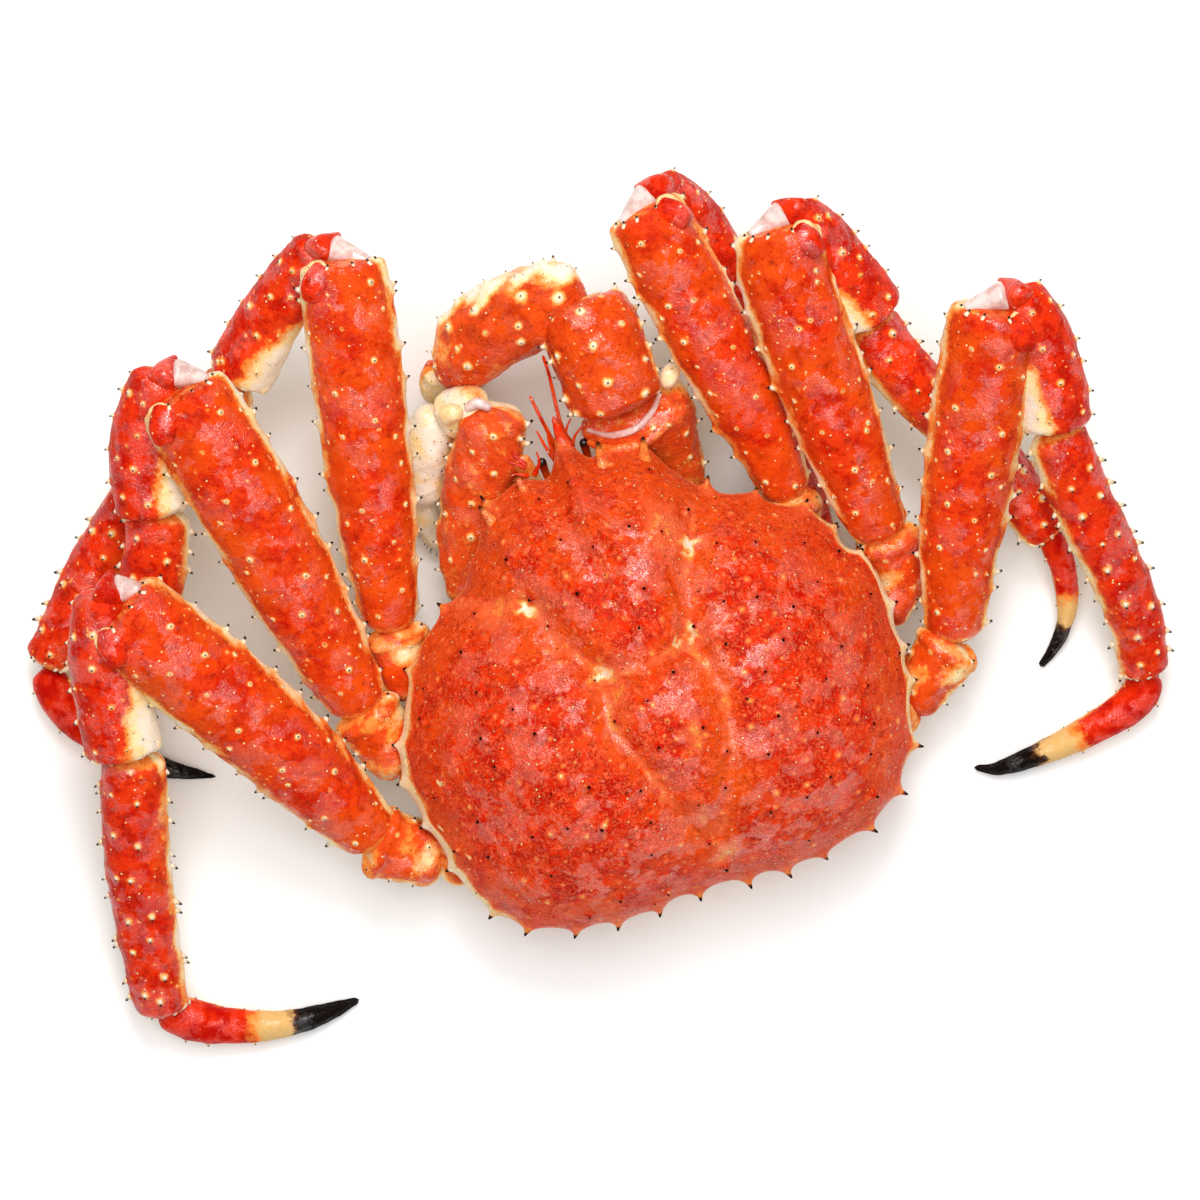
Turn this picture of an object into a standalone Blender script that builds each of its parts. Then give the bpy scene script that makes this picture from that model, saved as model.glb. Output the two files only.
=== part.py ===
"""A whole cooked king crab, lying on its belly with its legs folded at the knees.

The origin is on the floor under the middle of the crab. +X runs along its longest side, +Y is the other
side of the floor and +Z is up. The crab's own long axis is turned by BODY_TURN from +Y.
All sizes below are in millimetres, and MM turns them into Blender's metres.
"""
import math

import bmesh
import bpy
import numpy as np
from mathutils import Vector

MM = 0.001
# From the middle of the layout below to the middle of the crab's own box
LAYOUT_SHIFT = (0.5, 3.4, 0.0)
GAP = 0.4
SLAB_GAP = 0.8

# Driving dimensions of the body
BODY_CENTRE = np.array((25.7, -44.0))
BODY_TURN = math.radians(20.7)
RIM_HEIGHT = 42.0
FRONT_LIFT = 10.0
RIM_BAND = 4.5
DOME_HEIGHT = 50.0
ABDOMEN_THICKNESS = 7.0

# Slabs under the carapace: middle across and forwards, half size across, ahead and behind, and the floor
SLABS = {
    "thorax": {"centre": (0, 0), "spread": (66, 58, 56), "floor": ABDOMEN_THICKNESS + GAP},
    "mouth_frame": {"centre": (-2, 79), "spread": (20, 20, 19.5), "floor": 17.0},
    "abdomen": {"centre": (0, -18), "spread": (40, 60, 46), "floor": 0.0, "top": ABDOMEN_THICKNESS},
}

# The edge of the carapace from the beak clockwise: across to the right, and forwards
CARAPACE_EDGE = [
    (0, 113), (9, 104), (27, 101), (36, 89), (45, 77), (58, 71), (67, 64), (81, 54), (87, 39), (94, 30),
    (95, 18), (94, 4), (92, -14), (88, -28), (84, -39), (75, -51), (64, -60), (48, -65), (32, -67),
    (17, -66), (0, -64), (-19, -63), (-34, -64), (-51, -62), (-64, -59), (-78, -52), (-87, -42),
    (-93, -33), (-96, -18), (-99, -2), (-101, 11), (-100, 22), (-95, 33), (-90, 43), (-79, 59),
    (-70, 66), (-55, 75), (-49, 83), (-43, 89), (-38, 97), (-27, 104), (-19, 106), (-10, 103), (-4, 109),
]

# Spines round the edge: across, forwards, and how far each stands out
EDGE_SPINES = [
    (1, 113, 12), (14, 103, 7), (29, 101, 5), (46, 78, 8), (61, 69, 5), (76, 57, 6), (84, 46, 5),
    (90, 34, 4), (94, 12, 5), (93, -4, 5), (91, -17, 5), (84, -40, 7), (72, -54, 7), (57, -63, 7),
    (37, -67, 5), (22, -66, 7), (7, -65, 7), (-11, -63, 6), (-27, -64, 6), (-43, -63, 6), (-59, -60, 6),
    (-76, -53, 6), (-86, -43, 6), (-95, -22, 5), (-99, -4, 5), (-101, 14, 5), (-98, 28, 5), (-84, 53, 5),
    (-63, 70, 6), (-34, 100, 8),
]

# Grooves between the swollen regions of the back: depth, half width, then the points it runs through
GROOVES = [
    (4.0, 5.0, [(-32, 60), (-28, 44), (-17, 27)]),
    (3.5, 5.0, [(-17, 27), (-6, 25), (7, 25), (18, 26)]),
    (4.0, 5.0, [(18, 26), (21, 33), (22, 41), (25, 52), (32, 59), (36, 74)]),
    (4.0, 5.0, [(-17, 27), (-20, 7), (-15, -7), (-10, -25), (-5, -44)]),
    (3.5, 5.0, [(18, 26), (23, 6), (20, -10), (15, -23), (4, -44)]),
    (3.0, 5.0, [(-32, 60), (-44, 65), (-58, 70)]),
]

# Swollen regions: across, forwards, spread across, spread forwards, height
SWELLINGS = [
    (-3, 66, 22, 30, 4.0), (2, 6, 16, 20, 4.0), (-58, 0, 34, 40, 5.0), (58, 4, 30, 42, 5.0),
    (-58, 46, 18, 14, 3.0), (58, 50, 18, 14, 3.0),
]

BACK_SPINES = 30
BACK_SPINE_HEIGHT = 3.0
GOLDEN_TURN = 0.381966

# Half width and half depth of each kind of limb segment, by the share of its length from the body outwards
PROFILES = {
    "coxa": [(0, 9.0, 8.0), (0.5, 10.6, 8.8), (1, 10.4, 8.8)],
    "ischium": [(0, 9.2, 8.2), (0.5, 10.8, 9.0), (1, 12.0, 9.8)],
    "merus": [(0, 9.4, 8.2), (0.12, 11.8, 9.8), (0.38, 15.8, 12.6), (0.7, 17.2, 13.3), (0.92, 16.6, 12.8),
              (1, 15.0, 11.4)],
    "carpus": [(0, 8.4, 7.4), (0.25, 10.6, 9.2), (0.6, 12.6, 10.6), (0.9, 13.2, 11.2), (1, 12.4, 10.4)],
    "propodus": [(0, 9.2, 8.2), (0.1, 11.2, 9.6), (0.5, 11.2, 9.6), (0.9, 9.8, 8.4), (1, 8.8, 7.6)],
    "dactyl": [(0, 5.0, 4.6), (0.12, 7.0, 5.6), (0.5, 5.4, 4.4), (0.8, 3.8, 3.0), (1, 1.3, 1.1)],
}

# Sides and rings of each kind of segment, and the length of its rounded ends
COARSENESS = {
    "coxa": (8, 6, 5.0), "ischium": (8, 6, 6.0), "merus": (10, 11, 8.0), "carpus": (8, 9, 6.0),
    "propodus": (8, 12, 6.0), "dactyl": (6, 10, 4.0),
}
END_SHARE = 1 / 6

# Rows of spines on a segment: degrees round from its outer edge, first and last share, number, height
SPINE_ROWS = {
    "merus": [(2, 0.16, 0.93, 7, 3.0), (178, 0.16, 0.93, 7, 3.0)],
    "carpus": [(15, 0.25, 0.9, 4, 2.6), (75, 0.3, 0.7, 2, 2.2)],
    "propodus": [(5, 0.2, 0.85, 4, 2.6), (175, 0.2, 0.85, 4, 2.6)],
    "ischium": [(20, 0.5, 0.8, 1, 3.0)],
    "dactyl": [],
    "coxa": [],
}
SPINE_BASE = 1.7

# Each walking leg: how stout it is, then the points that each segment runs through, from the body outwards
LEGS = {
    "left_front": (0.95, {
        "coxa": [(-44, -38, 23), (-73, -33, 27)],
        "ischium": [(-71, -35, 27), (-79, -8, 36)],
        "merus": [(-79.5, -9, 36), (-83, 20, 48), (-91, 89, 70), (-96, 130, 80)],
        "carpus": [(-103.5, 136, 76), (-119, 117, 60), (-130, 101, 48), (-138, 87, 39)],
        "propodus": [(-138, 89, 36), (-185, 31, 22), (-215, -23, 14)],
        "dactyl": [(-215, -23, 12), (-208, -40, 8), (-191, -53, 6), (-171, -62, 4.4), (-150, -66, 1.7)],
    }),
    "left_middle": (1.04, {
        "coxa": [(-40, -58, 23), (-76, -60, 27)],
        "ischium": [(-74, -62, 26), (-91, -38, 36)],
        "merus": [(-90, -40, 36), (-100, -21, 45), (-131, 38, 70), (-156, 81, 85)],
        "carpus": [(-162, 88, 83), (-169, 70, 74), (-170, 52, 66), (-167, 35, 60)],
        "propodus": [(-165.5, 38, 58), (-170, 9, 47), (-179, -24, 34), (-185, -53, 25)],
        "dactyl": [(-185, -52, 22), (-185, -75, 12), (-181, -100, 6), (-175, -124, 1.8)],
    }),
    "left_back": (1.06, {
        "coxa": [(-28, -79, 23), (-63, -96, 27)],
        "ischium": [(-60, -98, 27), (-87, -88, 34)],
        "merus": [(-84, -90, 34), (-95, -78, 41), (-129, -43, 64), (-179, 0, 88)],
        "carpus": [(-183, 7, 89), (-185, -12, 83), (-182, -34, 73), (-177, -56, 65)],
        "propodus": [(-175.5, -53, 63), (-176, -92, 44), (-174, -122, 29), (-169, -157, 14)],
        "dactyl": [(-171, -155, 12), (-152, -162, 8.5), (-132, -163, 6.5), (-113, -160, 4.4),
                   (-94, -153, 1.8)],
    }),
    "right_front": (0.88, {
        "coxa": [(53, -5, 23), (77, 14, 25)],
        "ischium": [(78, 11, 25), (74, 25, 26), (72, 44, 33)],
        "merus": [(72, 41, 33), (64, 62, 44), (44.5, 96, 62), (15, 149, 83)],
        "carpus": [(20, 157.5, 79.5), (33, 148.5, 65), (43.8, 131, 50.3), (52, 109, 37.5)],
        "propodus": [(51.5, 112, 35), (67.5, 72, 21), (83.5, 24, 11)],
        "dactyl": [(83, 28, 10), (87, 3, 7), (83, -21, 4.6), (73, -41, 1.6)],
    }),
    "right_middle": (0.96, {
        "coxa": [(75, -12, 23), (109, 0, 25)],
        "ischium": [(106, -3, 25), (113.5, 12, 27), (110, 30, 36)],
        "merus": [(109, 26, 36.5), (98.5, 48, 48), (72, 114, 75), (65, 142, 85)],
        "carpus": [(71, 149, 83), (83.5, 135, 74), (94.5, 121, 65), (103, 109, 57)],
        "propodus": [(100.5, 110, 54), (116, 88, 46), (149, 58, 34), (173.5, 27, 23)],
        "dactyl": [(173, 30, 21), (180, 13, 15), (181.5, -1, 9.5), (178, -14, 4.5), (172, -23, 1.2)],
    }),
    "right_back": (0.97, {
        "coxa": [(82, -41, 23), (121, -36, 26)],
        "ischium": [(118, -38, 25.5), (135, -12, 35)],
        "merus": [(135, -13, 35), (136.5, 26, 50), (141.5, 76, 71), (146, 112, 88)],
        "carpus": [(153.5, 118, 90), (162.5, 103, 82), (168, 85, 73), (171, 67, 65)],
        "propodus": [(170, 69, 63), (182.5, 41, 50), (203, 3, 29), (211.5, -26, 14)],
        "dactyl": [(213, -24, 12), (207, -37, 9), (184.5, -51, 7), (158, -62, 4.3), (146, -62.5, 1.7)],
    }),
}
# A dactyl that is seen edge on is narrower than the rest
SLIM = {"leg_right_middle_dactyl": 0.68}

# Claw limbs: sides and rings, length of the round ends, half width and depth by share, then the points
CLAWS = {
    "claw_right_basis": ((8, 7, 5), [(0, 9, 8), (1, 11, 9)],
                         [(35.5, 7, 20), (32.5, 37, 19)]),
    "claw_right_merus": ((12, 10, 7), [(0, 10, 8.5), (0.3, 12, 9.5), (0.8, 16, 13), (1, 16.5, 12)],
                         [(32.5, 33, 19), (28.5, 50, 22), (23, 66, 33), (16, 80, 50)]),
    "claw_right_carpus": ((10, 9, 7), [(0, 14, 11), (0.2, 17.5, 15), (0.8, 17.5, 16), (1, 15, 14)],
                          [(7, 74, 54), (0, 96, 61), (-9, 116, 60)]),
    "claw_right_palm": ((10, 14, 8), [(0, 12, 12), (0.2, 15, 16), (0.5, 14, 15.5), (0.62, 11, 10.5),
                                      (0.78, 7, 7), (0.93, 4, 4), (1, 2.4, 2.4)],
                        [(-5, 118, 55), (-21, 114, 57), (-39, 107, 54), (-52, 95, 42), (-51, 91, 24),
                         (-43, 92, 3)]),
    "claw_right_finger": ((8, 9, 4), [(0, 6.5, 6), (0.3, 6.2, 5.5), (0.8, 4, 3.6), (1, 2, 1.8)],
                          [(-61, 92, 34), (-63, 83, 18), (-54, 78, 2.4)]),
    "claw_left_basis": ((8, 7, 5), [(0, 9, 8), (1, 10, 9)],
                        [(-20.5, -7, 20), (-48.5, 4, 20)]),
    "claw_left_merus": ((10, 11, 7), [(0, 9, 8), (0.2, 11, 9), (0.6, 13.5, 12), (0.9, 13, 12), (1, 11.5, 10)],
                        [(-48.5, 1, 20), (-50.5, 20, 25), (-48, 40, 33), (-42.5, 60, 43), (-41, 76, 54)]),
    "claw_left_carpus": ((8, 7, 5), [(0, 8, 7), (0.5, 9.5, 8.5), (1, 9, 8)],
                         [(-43, 77, 52), (-60, 72, 40)]),
    "claw_left_palm": ((10, 9, 6), [(0, 8, 7), (0.4, 10, 9), (0.8, 9, 8), (1, 7, 6)],
                       [(-60, 75, 39), (-68, 59, 30), (-69, 39, 20)]),
    "claw_left_finger": ((8, 8, 4), [(0, 5, 4.5), (0.5, 4.4, 4), (1, 2, 1.8)],
                         [(-69, 41, 17), (-65, 30, 9), (-58, 20, 2.4)]),
}

# Small pieces at the front, each set in the mouth frame, built as the claw limbs are
FRONT_PIECES = {
    "eye_left": ((6, 7, 2.4), [(0, 1.8, 1.8), (0.5, 2.2, 2.2), (1, 3.0, 3.0)],
                 [(-18, 46, 38), (-20.5, 51, 42), (-22.5, 56.5, 48)]),
    "eye_right": ((6, 7, 2.4), [(0, 1.8, 1.8), (0.5, 2.2, 2.2), (1, 3.0, 3.0)],
                  [(-3, 50, 38), (-4.5, 57, 42), (-6.5, 64, 48)]),
    "antenna_left": ((5, 9, 1.0), [(0, 1.9, 1.9), (0.25, 1.5, 1.5), (0.4, 0.9, 0.9), (1, 0.6, 0.6)],
                     [(-14, 50, 40), (-16.5, 60, 43), (-23, 73, 52), (-26.5, 80, 56)]),
    "antenna_right": ((5, 9, 1.0), [(0, 1.9, 1.9), (0.25, 1.5, 1.5), (0.4, 0.9, 0.9), (1, 0.6, 0.6)],
                      [(-9.5, 50, 40), (-11.5, 62, 43), (-15, 70, 47), (-19, 87, 57), (-21.5, 95, 60)]),
    "antennal_scale_left": ((6, 7, 2.0), [(0, 2.6, 2.0), (0.5, 3.8, 2.0), (1, 3.0, 1.6)],
                            [(-20.8, 41, 36), (-26.2, 49.4, 42.3), (-30.2, 57, 51.6)]),
    "antennal_scale_right": ((6, 7, 2.0), [(0, 2.8, 2.0), (0.5, 4.6, 2.2), (1, 3.4, 1.8)],
                             [(2, 48, 37), (3, 58, 43), (4, 66, 50)]),
    "mouthpart_left": ((6, 7, 3.0), [(0, 6.0, 5.0), (0.6, 6.4, 5.0), (1, 4.0, 3.0)],
                       [(1, 1, 14), (-8, 24, 12), (-15, 43, 17)]),
    "mouthpart_right": ((6, 7, 3.0), [(0, 6.0, 5.0), (0.6, 6.4, 5.0), (1, 4.0, 3.0)],
                        [(17, 7, 14), (6, 30, 12), (-3, 48, 17)]),
}
# The direction that a limb's own top faces, where it isn't upwards
TOP_FACES = {"claw_right_palm": (0.0, 1.0, 0.0), "claw_right_finger": (0.0, 1.0, 0.0)}
LIMB_TOP = (0.0, 0.0, 1.0)

CLAW_SPINE_ROWS = {
    "claw_right_carpus": [(15, 0.25, 0.85, 3, 3.0), (165, 0.25, 0.85, 3, 3.0), (80, 0.3, 0.8, 2, 2.0)],
    "claw_right_palm": [(80, 0.1, 0.5, 4, 2.6), (25, 0.15, 0.5, 3, 2.4)],
    "claw_right_merus": [(10, 0.6, 0.9, 2, 3.0)],
    "claw_left_merus": [(5, 0.35, 0.9, 4, 3.0), (175, 0.3, 0.85, 4, 2.6)],
    "claw_left_palm": [(170, 0.2, 0.8, 3, 2.0)],
}

# Colours and finish of the cooked shell
SHELL_RED = (0.62, 0.045, 0.012, 1)
SHELL_ORANGE = (0.72, 0.12, 0.02, 1)
SHELL_CREAM = (0.83, 0.62, 0.42, 1)
EYE_BLACK = (0.02, 0.015, 0.015, 1)
SHELL_ROUGHNESS = 0.3


def clear_scene():
    for obj in list(bpy.data.objects):
        bpy.data.objects.remove(obj)


def new_collection(name, hidden=False):
    collection = bpy.data.collections.new(name)
    collection.hide_render = hidden
    bpy.context.scene.collection.children.link(collection)
    return collection


def make_stand():
    stand = bpy.data.objects.new("stand", None)
    stand.location = Vector(LAYOUT_SHIFT) * MM
    bpy.context.scene.collection.objects.link(stand)


def shell_material(name, colour):
    material = bpy.data.materials.new(name)
    material.use_nodes = True
    shader = material.node_tree.nodes["Principled BSDF"]
    shader.inputs["Base Color"].default_value = colour
    shader.inputs["Roughness"].default_value = SHELL_ROUGHNESS
    shader.inputs["Metallic"].default_value = 0.0
    return material


def smooth_line(points, closed=False, steps=10):
    """A Catmull-Rom curve through the points, as rows of close samples."""
    points = np.array(points, float)
    if closed:
        padded = np.vstack([points[-1:], points, points[:2]])
    else:
        padded = np.vstack([2 * points[:1] - points[1:2], points, 2 * points[-1:] - points[-2:-1]])
    rows = []
    for a, b, c, d in zip(padded, padded[1:], padded[2:], padded[3:]):
        for t in np.arange(steps) / steps:
            rows.append(b + 0.5 * t * (c - a + t * (2 * a - 5 * b + 4 * c - d + t * (3 * (b - c) + d - a))))
    if not closed:
        rows.append(points[-1])
    return np.array(rows)


def lengths_along(line):
    return np.concatenate([[0], np.cumsum(np.linalg.norm(np.diff(line, axis=0), axis=1))])


def read_line(line, shares):
    """Points at the given shares of the line's length, carried straight on past its ends."""
    run = lengths_along(line)
    want = shares * run[-1]
    found = np.stack([np.interp(want, run, column) for column in line.T], axis=-1)
    start = line[1] - line[0]
    end = line[-1] - line[-2]
    found += np.minimum(want, 0)[..., None] * start / np.linalg.norm(start)
    found += np.maximum(want - run[-1], 0)[..., None] * end / np.linalg.norm(end)
    return found


def unit(rows):
    return rows / np.linalg.norm(rows, axis=-1, keepdims=True)


def limb_points(limb, turn, run, grow=0.0):
    """Points on a limb segment. turn goes round it and run from end to end, both from 0 to 1."""
    line = smooth_line(limb["line"])
    length = lengths_along(line)[-1]
    end = limb["end"] / length
    near = np.clip(run / END_SHARE, 0, 1)
    far = np.clip((1 - run) / END_SHARE, 0, 1)
    middle = np.clip((run - END_SHARE) / (1 - 2 * END_SHARE), 0, 1)
    share = end * (1 - np.cos(near * np.pi / 2)) + (1 - 2 * end) * middle + end * np.cos(far * np.pi / 2)
    shrink = np.sin(near * np.pi / 2) * np.sin(far * np.pi / 2)
    stations, widths, depths = np.array(limb["profile"], float).T
    half_width = np.interp(share, stations, widths) * limb["stout"] + grow
    half_depth = np.interp(share, stations, depths) * limb["stout"] + grow
    reach = share + (2 * share - 1) * grow / length
    step = 0.02
    centre = read_line(line, reach)
    forward = unit(read_line(line, share + step) - read_line(line, share - step))
    across = unit(np.cross(forward, limb["up"]))
    above = np.cross(across, forward)
    angle = turn * 2 * np.pi
    wide = np.sign(np.cos(angle)) * np.abs(np.cos(angle)) ** 0.85
    deep = np.sign(np.sin(angle)) * np.abs(np.sin(angle)) ** 0.85
    sideways = across * (wide * half_width * shrink)[..., None]
    upwards = above * (deep * half_depth * shrink)[..., None]
    return centre + sideways + upwards


def body_to_floor(across, forwards):
    """From the crab's own across and forwards to the floor's X and Y."""
    cos, sin = math.cos(BODY_TURN), math.sin(BODY_TURN)
    x = BODY_CENTRE[0] + across * cos - forwards * sin
    y = BODY_CENTRE[1] + across * sin + forwards * cos
    return x, y


def rim_height(forwards):
    lift = np.clip((forwards - 35) / 70, 0, 1)
    return RIM_HEIGHT + FRONT_LIFT * lift * lift * (3 - 2 * lift)


def distance_to_line(across, forwards, points):
    best = np.full(np.shape(across), np.inf)
    for (ax, ay), (bx, by) in zip(points, points[1:]):
        run_x, run_y = bx - ax, by - ay
        t = np.clip(((across - ax) * run_x + (forwards - ay) * run_y) / (run_x**2 + run_y**2), 0, 1)
        best = np.minimum(best, np.hypot(across - ax - t * run_x, forwards - ay - t * run_y))
    return best


def back_relief(across, forwards):
    """How far the regions of the back swell, less the grooves between them."""
    height = np.zeros(np.shape(across))
    for x, y, wide, deep, rise in SWELLINGS:
        height += rise * np.exp(-(((across - x) / wide) ** 2) - ((forwards - y) / deep) ** 2)
    for depth, half_width, points in GROOVES:
        height -= depth * np.exp(-((distance_to_line(across, forwards, points) / half_width) ** 2))
    return height


def carapace_points(turn, run):
    """Points on the carapace: run goes from the middle of the back, over the rim, to the middle below."""
    edge = smooth_line(CARAPACE_EDGE, closed=True)
    edge = read_line(np.vstack([edge, edge[:1]]), 1 - turn)
    rim = 0.76
    top = np.clip(run / rim, 0, 1)
    under = np.clip((run - rim) / (1 - rim), 0, 1)
    out = np.where(run <= rim, np.sin(top * np.pi / 2) ** 0.95, 1 - under**1.5)
    across, forwards = edge[..., 0] * out, edge[..., 1] * out
    rim_z = rim_height(forwards)
    dome = (1 - out**2.2) ** 0.72
    back = rim_z + DOME_HEIGHT * dome + back_relief(across, forwards) * (1 - out**8)
    below = rim_z - RIM_BAND
    x, y = body_to_floor(across, forwards)
    return np.stack([x, y, np.where(run <= rim + 1e-6, back, below)], axis=-1)


def slab_points(turn, run, slab):
    """A rounded slab that fills the room under the carapace, down to its own floor."""
    angle = turn * 2 * np.pi
    tall = np.cos(run * np.pi)
    out = (1 - np.abs(tall) ** 3.0) ** (1 / 3.0)
    wide, ahead, behind = slab["spread"]
    long = np.where(np.sin(angle) > 0, ahead, behind)
    across = slab["centre"][0] + wide * out * np.sign(np.cos(angle)) * np.abs(np.cos(angle)) ** 0.8
    forwards = slab["centre"][1] + long * out * np.sign(np.sin(angle)) * np.abs(np.sin(angle)) ** 0.8
    top = slab.get("top", rim_height(forwards) - RIM_BAND - SLAB_GAP)
    level = np.clip(tall * 1.12, -1, 1)
    x, y = body_to_floor(across, forwards)
    return np.stack([x, y, slab["floor"] + (top - slab["floor"]) * (1 + level) / 2], axis=-1)


def closed_form(place, around, rings):
    """A UV sphere with its points carried to where place says."""
    form = bmesh.new()
    bmesh.ops.create_uvsphere(form, u_segments=around, v_segments=rings, radius=1)
    balls = np.array([vertex.co for vertex in form.verts])
    turn = np.arctan2(balls[:, 1], balls[:, 0]) / (2 * np.pi) % 1
    run = np.arccos(np.clip(balls[:, 2], -1, 1)) / np.pi
    for vertex, point in zip(form.verts, place(turn, run) * MM):
        vertex.co = point
    if form.calc_volume(signed=True) < 0:
        bmesh.ops.reverse_faces(form, faces=form.faces)
    form.normal_update()
    return form


def raise_spine(form, faces, spot, height, outward=None):
    """Turns the free face nearest to the spot into a small pyramid that stands on it."""
    spot = Vector(spot * MM)
    face = min(faces, key=lambda f: (f.calc_center_median() - spot).length_squared)
    faces.remove(face)
    normal = face.normal.copy()
    centre = face.calc_center_median()
    shift = spot - centre
    shift -= normal * shift.dot(normal)
    room = 0.3 * math.sqrt(face.calc_area())
    foot = centre + shift * min(1, room / max(shift.length, 1e-9))
    bmesh.ops.inset_individual(form, faces=[face], thickness=0.3 * room)
    for vertex in face.verts:
        side = vertex.co - centre
        vertex.co = foot + side.normalized() * min(SPINE_BASE * MM, side.length)
    tip = bmesh.ops.poke(form, faces=[face])["verts"][0]
    lean = Vector(outward).normalized() if outward is not None else normal
    tip.co = foot + lean * height * MM


def finish_form(name, form, collection, colour):
    """The form as an object on the stand, which shifts the whole layout."""
    mesh = bpy.data.meshes.new(name)
    form.to_mesh(mesh)
    form.free()
    obj = bpy.data.objects.new(name, mesh)
    obj.parent = bpy.data.objects["stand"]
    obj.data.materials.append(shell_material(name + "_shell", colour))
    collection.objects.link(obj)
    return obj


def make_limb(name, limb, rows, collection, colour):
    """One limb segment with its rows of spines, which a right limb has in the mirror image of a left one."""
    around, rings = limb["coarseness"]
    right = "right" in name
    form = closed_form(lambda turn, run: limb_points(limb, turn, run), around, rings)
    faces = [face for face in form.faces if len(face.verts) == 4]
    for degrees, first, last, count, height in rows:
        turn = (180 - degrees if right else degrees) / 360
        for share in np.linspace(first, last, count):
            run = END_SHARE + share * (1 - 2 * END_SHARE)
            spot = limb_points(limb, np.array([turn]), np.array([run]))[0]
            raise_spine(form, faces, spot, height)
    return finish_form(name, form, collection, colour)


def make_cutter(name, limb, cutters):
    """The same segment grown by the gap, which makes the socket for it in its neighbour."""
    around, rings = limb["coarseness"]
    form = closed_form(lambda turn, run: limb_points(limb, turn, run, GAP), around, rings)
    cutter = finish_form(name + "_socket", form, cutters, SHELL_CREAM)
    cutter.hide_render = True
    cutter.display_type = "WIRE"
    return cutter


def cut_socket(obj, cutter):
    cut = obj.modifiers.new(cutter.name, "BOOLEAN")
    cut.operation = "DIFFERENCE"
    cut.solver = "EXACT"
    cut.object = cutter


def leg_limb(name, kind, stout, points):
    around, rings, end = COARSENESS[kind]
    return {"line": points, "profile": PROFILES[kind], "stout": SLIM.get(name, stout), "end": end,
            "coarseness": (around, rings), "up": LIMB_TOP}


def claw_limb(name, coarseness, profile, points):
    around, rings, end = coarseness
    return {"line": points, "profile": profile, "stout": 1.0, "end": end,
            "coarseness": (around, rings), "up": TOP_FACES.get(name, LIMB_TOP)}


def make_legs(crab, cutters, thorax):
    for leg, (stout, segments) in LEGS.items():
        inner = thorax
        for kind, points in segments.items():
            name = f"leg_{leg}_{kind}"
            limb = leg_limb(name, kind, stout, points)
            colour = SHELL_CREAM if kind == "coxa" else SHELL_RED
            segment = make_limb(name, limb, SPINE_ROWS[kind], crab, colour)
            cut_socket(inner, make_cutter(name, limb, cutters))
            inner = segment


def make_claws(crab, cutters, thorax):
    for side in ("right", "left"):
        inner = thorax
        for name, (coarseness, profile, points) in CLAWS.items():
            if side not in name:
                continue
            limb = claw_limb(name, coarseness, profile, points)
            segment = make_limb(name, limb, CLAW_SPINE_ROWS.get(name, []), crab, SHELL_ORANGE)
            cut_socket(inner, make_cutter(name, limb, cutters))
            inner = segment


def make_front_pieces(crab, cutters, thorax, mouth_frame):
    for name, (coarseness, profile, points) in FRONT_PIECES.items():
        limb = claw_limb(name, coarseness, profile, points)
        make_limb(name, limb, [], crab, EYE_BLACK if "eye" in name else SHELL_ORANGE)
        cutter = make_cutter(name, limb, cutters)
        cut_socket(mouth_frame, cutter)
        if "mouthpart" in name:
            cut_socket(thorax, cutter)


def make_carapace(crab):
    form = closed_form(carapace_points, 48, 19)
    faces = [face for face in form.faces if len(face.verts) == 4]
    rim = [face for face in faces if abs(face.normal.z) < 0.75 and face.calc_center_median().z < 0.055]
    for across, forwards, reach in EDGE_SPINES:
        x, y = body_to_floor(across, forwards)
        outward = np.array((x - BODY_CENTRE[0], y - BODY_CENTRE[1], 0))
        raise_spine(form, rim, np.array((x, y, rim_height(forwards))), reach, outward)
    back = [face for face in faces if face.is_valid and face.normal.z > 0.5 and len(face.verts) == 4]
    for i in range(BACK_SPINES):
        out = 0.9 * math.sqrt((i + 0.5) / BACK_SPINES)
        run = 0.76 * math.asin(out) / (math.pi / 2)
        spot = carapace_points(np.array([i * GOLDEN_TURN % 1]), np.array([run]))[0]
        raise_spine(form, back, spot, BACK_SPINE_HEIGHT)
    return finish_form("carapace", form, crab, SHELL_RED)


def make_slab(name, crab, around, rings):
    form = closed_form(lambda turn, run: slab_points(turn, run, SLABS[name]), around, rings)
    return finish_form(name, form, crab, SHELL_CREAM)


def main():
    clear_scene()
    make_stand()
    crab = new_collection("king_crab")
    cutters = new_collection("sockets", hidden=True)
    make_carapace(crab)
    thorax = make_slab("thorax", crab, 24, 9)
    mouth_frame = make_slab("mouth_frame", crab, 10, 6)
    make_slab("abdomen", crab, 20, 7)
    make_legs(crab, cutters, thorax)
    make_claws(crab, cutters, thorax)
    make_front_pieces(crab, cutters, thorax, mouth_frame)


main()
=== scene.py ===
import math

import bpy
import numpy as np
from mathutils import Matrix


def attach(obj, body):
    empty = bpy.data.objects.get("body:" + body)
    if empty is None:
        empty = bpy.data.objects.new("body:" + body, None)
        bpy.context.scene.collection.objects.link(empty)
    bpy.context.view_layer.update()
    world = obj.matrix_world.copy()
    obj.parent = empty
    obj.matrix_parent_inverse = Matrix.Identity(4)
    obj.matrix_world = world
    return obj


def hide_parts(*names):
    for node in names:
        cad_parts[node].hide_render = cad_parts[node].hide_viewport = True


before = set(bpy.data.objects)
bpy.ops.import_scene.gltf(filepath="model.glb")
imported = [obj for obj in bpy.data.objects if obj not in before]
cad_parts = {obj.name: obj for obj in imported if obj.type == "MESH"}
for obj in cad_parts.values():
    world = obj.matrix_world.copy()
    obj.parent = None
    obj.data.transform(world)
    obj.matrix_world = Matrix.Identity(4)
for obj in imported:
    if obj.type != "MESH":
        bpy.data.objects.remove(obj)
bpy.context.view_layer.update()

MM = 0.001
LAYOUT_SHIFT = np.array((0.5, 3.4, 0.0))
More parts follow.
